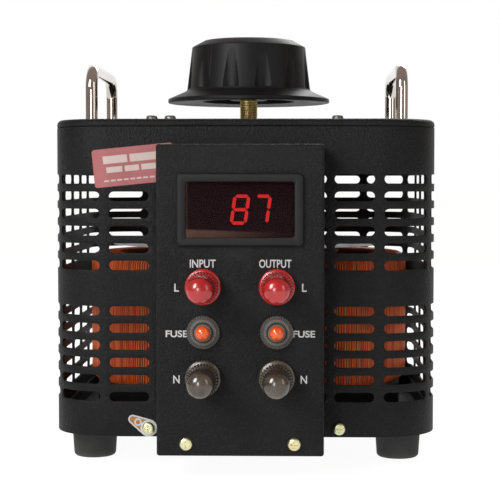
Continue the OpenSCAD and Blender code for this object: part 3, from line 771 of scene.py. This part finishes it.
def slot_ring(length, left, right):
    """Outline of a slot and of the cell round it, as matching (along, up) pairs from the slot's centre."""
    r = SLOT_H / 2
    straight = length / 2 - r
    cell_z = ROW_STEP / 2
    spans = 6

    def end(reach, side):
        angles = (67.5, 45, 22.5, 0)
        places = (((straight + reach) / 2, cell_z), (reach, cell_z), (reach, cell_z / 2), (reach, 0))
        turns = [math.radians(a) for a in angles]
        near = [(side * (straight + r * math.cos(a)), r * math.sin(a)) for a in turns]
        far = [(side * x, z) for x, z in places]
        near += [(x, -z) for x, z in reversed(near[:-1])]
        far += [(x, -z) for x, z in reversed(far[:-1])]
        return near, far

    inner = [(straight * (2 * k / spans - 1), r) for k in range(spans + 1)]
    outer = [(x, cell_z) for x, _ in inner]
    near, far = end(right, 1)
    below = [(-x, -r) for x, _ in inner]
    inner = inner + near + below
    outer = outer + far + [(x, -cell_z) for x, _ in below]
    near, far = end(left, -1)
    return inner + near[::-1], outer + far[::-1]


def case_sheet():
    """The slotted sheet, unrolled as one layer of faces and wrapped round the case."""
    points, index, faces = [], {}, []

    def at(s, z):
        s = HALF_WAY if abs(s + HALF_WAY) < 1e-6 else s
        key = (round(s * 1e6), round(z * 1e6))
        if key not in index:
            index[key] = len(points)
            points.append(round_case(s, z))
        return index[key]

    def quad(s0, z0, s1, z1):
        faces.append((at(s0, z0), at(s1, z0), at(s1, z1), at(s0, z1)))

    block_rows = [[top - i * ROW_STEP for i in range(ROWS - 1, -1, -1)]
                  for top in (LOWER_ROWS_Z, UPPER_ROWS_Z)]
    rows = block_rows[0] + block_rows[1]
    blocks = [(block[0] - ROW_STEP / 2, block[-1] + ROW_STEP / 2) for block in block_rows]
    bands = [(CASE_LOW.z, blocks[0][0]), (blocks[0][1], blocks[1][0]), (blocks[1][1], CASE_HIGH.z)]
    levels = [ROW_STEP * k / 4 for k in (-2, -1, 0, 1, 2)]
    bounds = [SLOTS[0][0] - 2.1 * MM]
    bounds += [(a[1] + b[0]) / 2 for a, b in zip(SLOTS, SLOTS[1:])] + [SLOTS[-1][1] + 2.6 * MM]
    for side in (1, -1):
        shift = side * SLOT_SHIFT
        for (start, stop), low, high in zip(SLOTS, bounds, bounds[1:]):
            middle_s = (start + stop) / 2
            centre = side * (middle_s + shift)
            inner, outer = slot_ring(stop - start, middle_s - low, high - middle_s)
            inner = [(side * x, z) for x, z in inner]
            outer = [(side * x, z) for x, z in outer]
            size = len(inner)
            for z in rows:
                for k in range(size):
                    m = (k + 1) % size
                    corners = (inner[k], inner[m], outer[m], outer[k])
                    faces.append(tuple(at(centre + along, z + up) for along, up in corners))
            along = sorted({round(x * 1e7) for x, z in outer if z > ROW_STEP / 2 - 1e-9})
            for z0, z1 in bands:
                for x0, x1 in zip(along, along[1:]):
                    quad(centre + x0 / 1e7, z0, centre + x1 / 1e7, z1)
        window = WINDOW_HALF + shift
        plain = ((0, window / 2), (window / 2, window), (window, bounds[0] + shift),
                 (bounds[-1] + shift, HALF_WAY))
        for s0, s1 in plain:
            for z0, z1 in bands:
                quad(side * s0, z0, side * s1, z1)
            if s1 > window:
                for z in rows:
                    for z0, z1 in zip(levels, levels[1:]):
                        quad(side * s0, z + z0, side * s1, z + z1)
    return points, faces


def make_case():
    points, faces = case_sheet()
    made = piece("slotted_case", points, faces, POWDER, replaces=["case_wrap"])
    thicken = made.modifiers.new("thickness", "SOLIDIFY")
    thicken.thickness = SHEET_T
    thicken.offset = -1
    thicken.use_even_offset = True
    settle(made)
    return bevel(made, 0.28 * MM, 2, 50)


def case_loop(inset, z):
    """Plan of the case, drawn in, at a height."""
    outline = round_outline(CASE_W - 2 * inset, CASE_D - 2 * inset, CORNER_R - inset, 16)
    return [(x, AXIS.y + y, z) for x, y in outline]


def make_lid():
    edge = 3.2 * MM
    skirt = LID_LOW.z
    seam = CASE_HIGH.z + 0.35 * MM
    lip = SHEET_T + 0.05 * MM
    wall = 1.5 * MM
    profile = [(lip, skirt), (lip, seam), (0.35 * MM, seam), (0.1 * MM, seam + 0.12 * MM)]
    profile += [(0, seam + 0.4 * MM)]
    profile += [(edge - edge * math.cos(a), LID_Z - edge + edge * math.sin(a))
                for a in [math.radians(11.25 * k) for k in range(1, 9)]]
    profile += [(edge + 2 * MM, LID_Z)]
    under = [(edge + 2 * MM, LID_Z - wall), (lip + wall + 1 * MM, LID_Z - wall),
             (lip + wall, LID_Z - wall - 1 * MM), (lip + wall, skirt)]
    outer = [case_loop(i, z) for i, z in profile]
    inner = [case_loop(i, z) for i, z in under]
    points, faces = loft(outer + inner, closed=True)
    size = len(outer[0])
    top, below = (len(outer) - 1) * size, len(outer) * size
    bridge = [f for f in faces if not (set(f) <= set(range(top, below + size)))]
    bridge.append(tuple(range(top, top + size)))
    bridge.append(tuple(reversed(range(below, below + size))))
    return piece("pressed_lid", points, bridge, POWDER, replaces=["top_cover"], sharp=30)


# ------------------------------------------------------------------ terminal box and meter

BOX_W = BOX_HIGH.x - BOX_LOW.x
BOX_H = BOX_HIGH.z - BOX_LOW.z
BOX_MID_X = (BOX_LOW.x + BOX_HIGH.x) / 2
BOX_MID_Z = (BOX_LOW.z + BOX_HIGH.z) / 2
BOX_DEPTH = CASE_FRONT - BOX_FRONT


def make_terminal_box():
    """Folded steel box, open at the back, with a cut-out for the meter."""
    def loop(inset, out):
        outline = round_outline(BOX_W - 2 * inset, BOX_H - 2 * inset, max(BOX_EDGE - inset, 0.3 * MM), 6)
        return [(BOX_MID_X + x, BOX_FRONT - out, BOX_MID_Z + y) for x, y in outline]

    def cut_out(out):
        low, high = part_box("meter_body")
        outline = round_outline(high.x - low.x, high.z - low.z, 1 * MM, 6)
        return [(METER.x + x, BOX_FRONT - out, METER.z + y) for x, y in outline]

    loops = [loop(0, -BOX_DEPTH)]
    for k in range(7):
        a = math.radians(15 * k)
        loops.append(loop(BOX_EDGE * (1 - math.cos(a)), -BOX_EDGE * (1 - math.sin(a))))
    loops.append(loop(BOX_EDGE + 1 * MM, 0))
    loops += [cut_out(0), cut_out(-SHEET_T)]
    loops += [loop(BOX_EDGE + 1 * MM, -SHEET_T), loop(SHEET_T, -SHEET_T), loop(SHEET_T, -BOX_DEPTH)]
    points, faces = loft(loops, closed=True)
    return piece("terminal_box", points, faces, POWDER, replaces=["front_panel"], sharp=30)


def make_meter():
    low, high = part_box("meter_bezel")
    width, height, out = high.x - low.x, high.z - low.z, BOX_FRONT - low.y
    glass_low, glass_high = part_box("meter_window")
    glass_w, glass_h = glass_high.x - glass_low.x, glass_high.z - glass_low.z
    spot = from_box(METER.x, METER.z)
    round_r = 1.3 * MM

    def loop(w, h, r, z):
        return [spot(x, y, z) for x, y in round_outline(w, h, r, 8)]

    loops = [loop(width, height, 3 * MM, 0)]
    for k in range(7):
        a = math.radians(15 * k)
        inset = round_r * (1 - math.cos(a))
        level = out - round_r * (1 - math.sin(a))
        loops.append(loop(width - 2 * inset, height - 2 * inset, 3 * MM - inset, level))
    lip = 0.5 * MM
    loops += [loop(glass_w + 2 * lip, glass_h + 2 * lip, 1.5 * MM + lip, out),
              loop(glass_w + 0.6 * lip, glass_h + 0.6 * lip, 1.5 * MM + 0.3 * lip, out - 0.25 * lip),
              loop(glass_w, glass_h, 1.5 * MM, out - lip), loop(glass_w, glass_h, 1.5 * MM, 0)]
    points, faces = loft(loops, closed=True)
    piece("meter_frame", points, faces, BEZEL, replaces=["meter_bezel"], sharp=40)


# ------------------------------------------------------------------ posts and breakers

def knurl(count, base, depth, z0, z1, place):
    """A band of rounded ribs."""
    steps = count * 6
    heights = [z0, z0 + 0.5 * MM, z1 - 0.5 * MM, z1]
    loops = []
    for i, z in enumerate(heights):
        edge = 0.45 * MM if i in (0, 3) else 0
        loop = []
        for k in range(steps):
            a = 2 * math.pi * k / steps
            rib = abs(math.sin(a * count / 2))
            r = base - edge - depth * (1 - rib)
            loop.append(place(r * math.cos(a), r * math.sin(a), z))
        loops.append(loop)
    return loft(loops)


def make_post(name, plastic):
    base_low, base_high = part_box(name + "_base")
    cap_low, cap_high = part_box(name + "_cap")
    centre = (base_low + base_high) / 2
    place = from_box(centre.x, centre.z)
    base_r = (base_high.x - base_low.x) / 2
    base_out = BOX_FRONT - base_low.y
    flange = base_out - 1.8 * MM
    profile = [(2.6 * MM, 0), (base_r - 0.3 * MM, 0), (base_r, 0.4 * MM)]
    profile += arc(base_r - 1.2 * MM, flange - 1.2 * MM, 1.2 * MM, 0, 80, 6)
    profile += [(8.0 * MM, flange), (7.4 * MM, flange + 0.3 * MM), (7.4 * MM, base_out - 0.2 * MM),
                (7.2 * MM, base_out), (2.6 * MM, base_out)]
    points, faces = revolve(profile, place, 96)
    piece(name + "_collar", points, faces, plastic, replaces=[name + "_base"], sharp=40)

    start = BOX_FRONT - cap_high.y
    end = BOX_FRONT - cap_low.y
    knurl_r = (cap_high.x - cap_low.x) / 2
    ribs_end = start + 9 * MM
    ribs = knurl(32, knurl_r, 0.95 * MM, start, ribs_end, place)
    front_r = 7.5 * MM
    dome = 5.6 * MM
    shoulder = knurl_r - 0.85 * MM
    profile = [(shoulder - 1 * MM, start + 0.4 * MM), (shoulder, start + 1 * MM)]
    profile += [(shoulder, ribs_end - 0.6 * MM), (shoulder - 0.1 * MM, ribs_end + 0.1 * MM)]
    profile += [(shoulder - 0.3 * MM, ribs_end + 0.5 * MM)]
    steps = 6
    for k in range(1, steps + 1):
        t = k / steps
        profile.append((shoulder - 0.3 * MM + (front_r - shoulder + 0.3 * MM) * t,
                        ribs_end + 0.5 * MM + (end - dome - ribs_end - 0.5 * MM) * t))
    profile += [(front_r * math.cos(a), end - dome + dome * math.sin(a))
                for a in [math.radians(9 * k) for k in range(1, 10)]]
    profile.append((0.2 * MM, end))
    grip = revolve(profile, place, 96)
    points, faces = join_skins([ribs, grip])
    piece(name + "_grip", points, faces, plastic, name + "_thumb_cap", [name + "_cap"], 45)


def make_breaker(name):
    low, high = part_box(name + "_breaker_nut")
    centre = (low + high) / 2
    place = from_box(centre.x, centre.z)
    outer = (high.x - low.x) / 2
    thick = 3.2 * MM
    teeth = 40
    steps = teeth * 8
    loops = []
    for z, inset in ((0, 0.1), (0.25, 0), (thick / MM - 0.5, 0), (thick / MM, 0.45)):
        loop = []
        for k in range(steps):
            a = 2 * math.pi * k / steps
            tooth = min(1, max(0, 1.6 * abs(math.sin(a * teeth / 2)) - 0.1))
            r = outer - inset * MM - 0.75 * MM * (1 - tooth)
            loop.append(place(r * math.cos(a), r * math.sin(a), z * MM))
        loops.append(loop)
    rim_r = outer - 1.7 * MM
    for r, z in ((rim_r, thick), (rim_r - 0.3 * MM, thick + 0.15 * MM), (5.8 * MM, thick + 0.3 * MM),
                 (5.6 * MM, thick - 0.4 * MM), (5.05 * MM, thick - 0.4 * MM), (5.05 * MM, 0)):
        loops.append([place(r * math.cos(2 * math.pi * k / steps), r * math.sin(2 * math.pi * k / steps), z)
                      for k in range(steps)])
    skins = [loft(loops, closed=True)]
    ticks = 40
    for k in range(ticks):
        a = 2 * math.pi * (k + 0.5) / ticks
        u, v = (math.cos(a), math.sin(a)), (-math.sin(a), math.cos(a))
        corners = [(6.3 * MM, -0.16 * MM), (6.3 * MM, 0.16 * MM), (7.4 * MM, 0.2 * MM), (7.4 * MM, -0.2 * MM)]
        skins.append(loft([[place(u[0] * r + v[0] * w, u[1] * r + v[1] * w, z) for r, w in corners]
                           for z in (thick - 0.1 * MM, thick + 0.42 * MM)]))
    points, faces = join_skins(skins)
    piece(name + "_ring_nut", points, faces, BREAKER, "case", [name + "_breaker_nut"], 30)

    low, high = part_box(name + "_reset_button")
    r = (high.x - low.x) / 2
    out = BOX_FRONT - low.y
    back = BOX_FRONT - high.y
    dome = 3.4 * MM
    profile = [(0.2 * MM, back), (r, back), (r, out - dome)]
    profile += [(r * math.cos(a), out - dome + dome * math.sin(a))
                for a in [math.radians(10 * k) for k in range(1, 9)]]
    profile.append((0.1 * MM, out))
    points, faces = revolve(profile, place, 64)
    piece(name + "_push_button", points, faces, ORANGE, name + "_button",
          [name + "_reset_button"], 40)


# ------------------------------------------------------------------ knob

def make_knob():
    low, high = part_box("knob")
    skirt = (high.x - low.x) / 2
    place = from_floor(0, AXIS.y)
    base = low.z
    tall = high.z - low.z
    body_z = 8.3 * MM
    shoulder = tall - 5 * MM
    profile = [(12 * MM, 2 * MM), (skirt - 1.2 * MM, 0), (skirt - 0.3 * MM, 0.15 * MM), (skirt, 0.7 * MM),
               (skirt, 2.2 * MM), (skirt - 0.25 * MM, 2.65 * MM), (skirt - 0.8 * MM, 2.95 * MM)]
    profile += [(42.9 * MM, body_z - 1.1 * MM), (41.5 * MM, body_z - 0.5 * MM)]
    profile += [(40.9 * MM, body_z + 0.4 * MM), (40.6 * MM, body_z + 1.5 * MM)]
    profile += arc(37.5 * MM - 1 * MM, shoulder - 0.2 * MM, 1 * MM, 5, 50, 4)
    profile += arc(29.4 * MM, tall - 1.2 * MM, 0.9 * MM, 50, 88, 4)
    profile += [(24 * MM, tall - 0.2 * MM), (12 * MM, tall - 0.04 * MM), (0.3 * MM, tall)]
    points, faces = revolve([(r, base + z) for r, z in profile], place, 180)
    made = piece("fluted_knob", points, faces, KNOB, "rotor", ["knob"], 30)
    cutters = []
    flutes = 12
    flute_centre = 45.3 * MM
    flute_low = base + body_z + 0.6 * MM
    flute_high = base + tall + 5 * MM
    for k in range(flutes):
        a = 2 * math.pi * (k + 0.5) / flutes
        spot = from_floor(flute_centre * math.cos(a), AXIS.y + flute_centre * math.sin(a))
        cutters.append(revolve([(0.5 * MM, flute_low), (7 * MM, flute_low), (7.5 * MM, flute_low + 0.5 * MM),
                                (7.5 * MM, flute_high), (0.5 * MM, flute_high)], spot, 64))
    hub = 12 * MM
    roof = base + shoulder - 4 * MM
    below = base - 1 * MM
    cavity_r = 30.5 * MM
    bore_r = 5.72 * MM
    turn = [2 * math.pi * k / 96 for k in range(96)]
    section = ((hub, below), (cavity_r, below), (cavity_r, roof), (hub + 1 * MM, roof))
    cutters.append(loft([[place(r * math.cos(a), r * math.sin(a), z) for a in turn] for r, z in section],
                        closed=True))
    bore = [(0.1 * MM, below), (bore_r, below), (bore_r, roof), (0.1 * MM, roof)]
    cutters.append(revolve(bore, place, 64))
    tool_points, tool_faces = join_skins(cutters)
    tool = piece("flute_cutter", tool_points, tool_faces, KNOB, "rotor")
    cut = made.modifiers.new("flutes", "BOOLEAN")
    cut.operation = "DIFFERENCE"
    cut.solver = "EXACT"
    cut.object = tool
    settle(made)
    bpy.data.objects.remove(tool)
    bevel(made, 0.45 * MM, 3, 28)
    return made


# ------------------------------------------------------------------ winding

TURNS = 290
SECTION_CORNER = 6 * MM


def section_outline(inset, per_corner=5):
    """Half section of the winding as (radius, height) pairs."""
    outer_r, inner_r = 104 * MM, 48 * MM
    width, height = outer_r - inner_r - 2 * inset, COIL_HIGH.z - COIL_LOW.z - 2 * inset
    mid_r, mid_z = (outer_r + inner_r) / 2, (COIL_LOW.z + COIL_HIGH.z) / 2
    outline = round_outline(width, height, SECTION_CORNER - inset, per_corner)
    return [(mid_r + x, mid_z + y) for x, y in outline]


def make_winding():
    wire_r = 0.62 * MM
    gap = math.radians(34)
    start = -math.pi / 2 + gap / 2
    span = 2 * math.pi - gap
    outline = section_outline(wire_r)
    size = len(outline)
    mid_r = 76 * MM
    rng = random.Random(7)
    path = []
    for turn in range(TURNS):
        lane = 1.25 * MM * (turn % 2)
        wobble = rng.uniform(-0.12, 0.12) * MM
        for k, (r, z) in enumerate(outline):
            a = start + span * (turn + k / size) / TURNS
            inward = max(0.0, min(1.0, (mid_r - r) / (15 * MM)))
            r = r + inward * lane
            path.append(((r + wobble) * math.cos(a), AXIS.y + (r + wobble) * math.sin(a), z))
    path = np.array(path)
    way = np.gradient(path, axis=0)
    way /= np.linalg.norm(way, axis=1)[:, None]
    centre = np.array([[mid_r * math.cos(a), AXIS.y + mid_r * math.sin(a), (COIL_LOW.z + COIL_HIGH.z) / 2]
                       for a in [start + span * i / len(path) for i in range(len(path))]])
    out = path - centre
    out -= (out * way).sum(1)[:, None] * way
    out /= np.linalg.norm(out, axis=1)[:, None]
    side = np.cross(way, out)
    sides = 6
    loops = [[tuple(path[i] + wire_r * (math.cos(2 * math.pi * j / sides) * out[i]
                                        + math.sin(2 * math.pi * j / sides) * side[i])) for j in range(sides)]
             for i in range(len(path))]
    points, faces = loft(loops)
    piece("copper_turns", points, faces, COPPER, replaces=["coil_winding"], sharp=80)

    steps = 120
    loops = []
    for k in range(steps + 1):
        a = start + span * k / steps
        loops.append([(r * math.cos(a), AXIS.y + r * math.sin(a), z) for r, z in section_outline(2.0 * MM)])
    points, faces = loft(loops)
    piece("winding_wrap", points, faces, PAPER, sharp=50)


# ------------------------------------------------------------------ labels and print

def label_on_case(name, outline, finish, out, thick):
    """Flat film on the front of the case. outline gives (distance round the case, height) pairs."""
    front = [round_case(s, z, out + thick) for s, z in outline]
    back = [round_case(s, z, out) for s, z in outline]
    size = len(outline)
    faces = [tuple(range(size)), tuple(range(2 * size - 1, size - 1, -1))]
    faces += [(k, (k + 1) % size, size + (k + 1) % size, size + k) for k in range(size)]
    return piece(name, front + back, faces, finish, sharp=30)


def tilted(cx, cz, x, z, degrees):
    a = math.radians(degrees)
    return (cx + x * math.cos(a) - z * math.sin(a), cz + x * math.sin(a) + z * math.cos(a))


def film(name, corner, tilt, x0, z0, x1, z1, finish, out, radius=0.0, columns=14):
    """Rectangle of film that bends round the case, with its own corner as the origin of x and z."""
    def edge_drop(x):
        near = min(x - x0, x1 - x)
        if radius <= 0 or near >= radius:
            return 0.0
        return radius - math.sqrt(max(radius ** 2 - (radius - near) ** 2, 0))
    cuts = {x0 + (x1 - x0) * k / columns for k in range(columns + 1)}
    if radius > 0:
        cuts |= {x for t in (0, 0.1, 0.3, 0.6, 1) for x in (x0 + radius * t, x1 - radius * t)}
    thick = 0.1 * MM
    loops = []
    for x in sorted(cuts):
        drop = edge_drop(x)
        ends = [(x, z0 + drop), (x, z1 - drop)]
        (sa, za), (sb, zb) = [tilted(corner[0], corner[1], px, pz, tilt) for px, pz in ends]
        loops.append([round_case(sa, za, out), round_case(sb, zb, out),
                      round_case(sb, zb, out + thick), round_case(sa, za, out + thick)])
    points, faces = loft(loops)
    return piece(name, points, faces, finish, sharp=40)


def make_seal():
    """Seal label across the case, printed with plain bars."""
    corner = (-88.6 * MM, CASE_LOW.z + 148.6 * MM)
    tilt = 5.7
    length, height = 48.5 * MM, 22.6 * MM
    film("seal_label", corner, tilt, 0, 0, length, height, SEAL, 0.02 * MM, 1.6 * MM, 24)
    bars = [(6.5, 13.6, 14.5, 4.6), (22.5, 13.6, 17.5, 4.6), (8.0, 8.2, 9.5, 3.4), (19.0, 8.2, 8.5, 3.4),
            (29.0, 8.2, 9.0, 3.4)]
    for k, (x, z, w, h) in enumerate(bars):
        film(f"seal_bar_{k}", corner, tilt, x * MM, z * MM, (x + w) * MM, (z + h) * MM, SEAL_PRINT, 0.12 * MM)
    for k in range(9):
        x = (6 + 3.9 * k) * MM
        film(f"seal_line_{k}", corner, tilt, x, 3 * MM, x + 2.9 * MM, 4 * MM, SEAL_PRINT, 0.12 * MM, 0, 3)


def ring_film(name, x, z, outer, inner, finish, out, steps=48):
    """Round or ring-shaped film on the front of the case."""
    turn = [2 * math.pi * k / steps for k in range(steps)]
    thick = 0.1 * MM
    loops = [[round_case(x + r * math.cos(a), z + r * math.sin(a), o) for a in turn]
             for r, o in ((inner, out), (outer, out), (outer, out + thick), (inner, out + thick))]
    points, faces = loft(loops, closed=True)
    piece(name, points, faces, finish, sharp=40)


def drop_outline(x, z, big, small, dx, dz, steps=20):
    """Teardrop round two circles."""
    length = math.hypot(dx, dz)
    lean = math.atan2(dz, dx)
    half = math.acos((big - small) / length)
    around_big = [lean + half + (2 * math.pi - 2 * half) * k / steps for k in range(steps + 1)]
    around_small = [lean - half + 2 * half * k / steps for k in range(steps + 1)]
    return ([(x + big * math.cos(a), z + big * math.sin(a)) for a in around_big]
            + [(x + dx + small * math.cos(a), z + dz + small * math.sin(a)) for a in around_small])


def make_screw_tag():
    """Small teardrop tag under the lower left case screw."""
    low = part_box("wrap_screws")[0]
    x, z = low.x + 3.8 * MM, middle("wrap_screws").z
    dx, dz = -9.5 * MM, 5.2 * MM
    border = drop_outline(x, z, 5.2 * MM, 2.7 * MM, dx, dz)
    label_on_case("tag_border", border, WHITE_PRINT, 0.01 * MM, 0.1 * MM)
    fill = drop_outline(x, z, 4.4 * MM, 1.8 * MM, dx, dz)
    label_on_case("tag_fill", fill, TAG_ORANGE, 0.11 * MM, 0.05 * MM)
    ring_film("tag_ring_large", x, z, 4.9 * MM, 3.6 * MM, WHITE_PRINT, 0.17 * MM)
    ring_film("tag_ring_small", x - 6.3 * MM, z + 3.5 * MM, 2.3 * MM, 1.3 * MM, WHITE_PRINT, 0.17 * MM)


def text_piece(name, text, size, place, turn, extrude, offset, smoothness, finish):
    """Printed characters, centred at a place."""
    data = bpy.data.curves.new(name, "FONT")
    data.body = text
    data.align_x = "CENTER"
    data.align_y = "CENTER"
    data.size = size
    data.extrude = extrude
    data.offset = offset
    data.resolution_u = smoothness
    data.materials.append(finish)
    made = bpy.data.objects.new(name, data)
    made.location = place
    made.rotation_euler = turn
    bpy.context.scene.collection.objects.link(made)
    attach(made, "case")
    return made


def lettering(name, text, x, z, height, width):
    """Painted letters on the face of the terminal box, centred at x and z and as wide as told."""
    place = (x, BOX_FRONT - 0.03 * MM, z)
    upright = (math.radians(90), 0, 0)
    made = text_piece(name, text, height * 1.4, place, upright, 0.04 * MM, 0.11 * MM, 6, WHITE_PRINT)
    bpy.context.view_layer.update()
    made.scale.x = width / made.dimensions.x


def make_print():
    line, neutral = middle("input_line_base"), middle("input_neutral_base")
    breaker = middle("input_breaker_nut")
    out_line = middle("output_line_base")
    above = line.z + 12.9 * MM
    lettering("print_input", "INPUT", line.x - 0.4 * MM, above, 4.6 * MM, 14.8 * MM)
    lettering("print_output", "OUTPUT", out_line.x - 1 * MM, above, 4.6 * MM, 18.4 * MM)
    far = 15.4 * MM
    for x, name in ((line.x - far, "left"), (out_line.x + far, "right")):
        lettering("print_line_" + name, "L", x, line.z - 0.8 * MM, 4.6 * MM, 2.7 * MM)
        lettering("print_neutral_" + name, "N", x, neutral.z - 1.4 * MM, 4.6 * MM, 3.7 * MM)
        lettering("print_fuse_" + name, "FUSE", x, breaker.z - 1.2 * MM, 3.8 * MM, 12.5 * MM)


def make_dial_print():
    """Graduated ring on the plate under the knob: marks every 5 volts and numbers every 50."""
    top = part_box("dial_plate")[1].z
    place = from_floor(0, AXIS.y)
    zero, sweep, full = 21, 320, 250
    marks_r = 63.5 * MM
    numbers_r = 67.3 * MM
    skins = []
    for volts in range(0, full + 1, 5):
        a = math.radians(zero - sweep * volts / full)
        near, half = (58 * MM, 0.4 * MM) if volts % 50 == 0 else (60 * MM, 0.22 * MM)
        corners = [(near, -half), (marks_r, -half), (marks_r, half), (near, half)]
        flat = [(r * math.cos(a) - w * math.sin(a), r * math.sin(a) + w * math.cos(a)) for r, w in corners]
        skins.append(loft([[place(x, y, top + up) for x, y in flat] for up in (-0.02 * MM, 0.05 * MM)]))
    points, faces = join_skins(skins)
    piece("dial_marks", points, faces, DARK_PRINT)
    for volts in range(0, full + 1, 50):
        a = math.radians(zero - sweep * volts / full)
        spot = place(numbers_r * math.cos(a), numbers_r * math.sin(a), top + 0.02 * MM)
        turn = (0, 0, a + math.pi / 2)
        text_piece(f"dial_number_{volts}", str(volts), 5.2 * MM, spot, turn, 0.03 * MM, 0, 4, DARK_PRINT)


# ------------------------------------------------------------------ build

make_camera()
make_studio()
make_case()
make_lid()
make_terminal_box()
make_meter()
for side in ("input", "output"):
    make_post(side + "_line", RED_POST)
    make_post(side + "_neutral", BLACK_POST)
    make_breaker(side)
make_knob()
make_winding()
make_seal()
make_screw_tag()
make_print()
make_dial_print()

for name in NODE_FINISH[RUBBER].split() + NODE_FINISH[CHROME].split():
    smooth(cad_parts[name].data, 35)
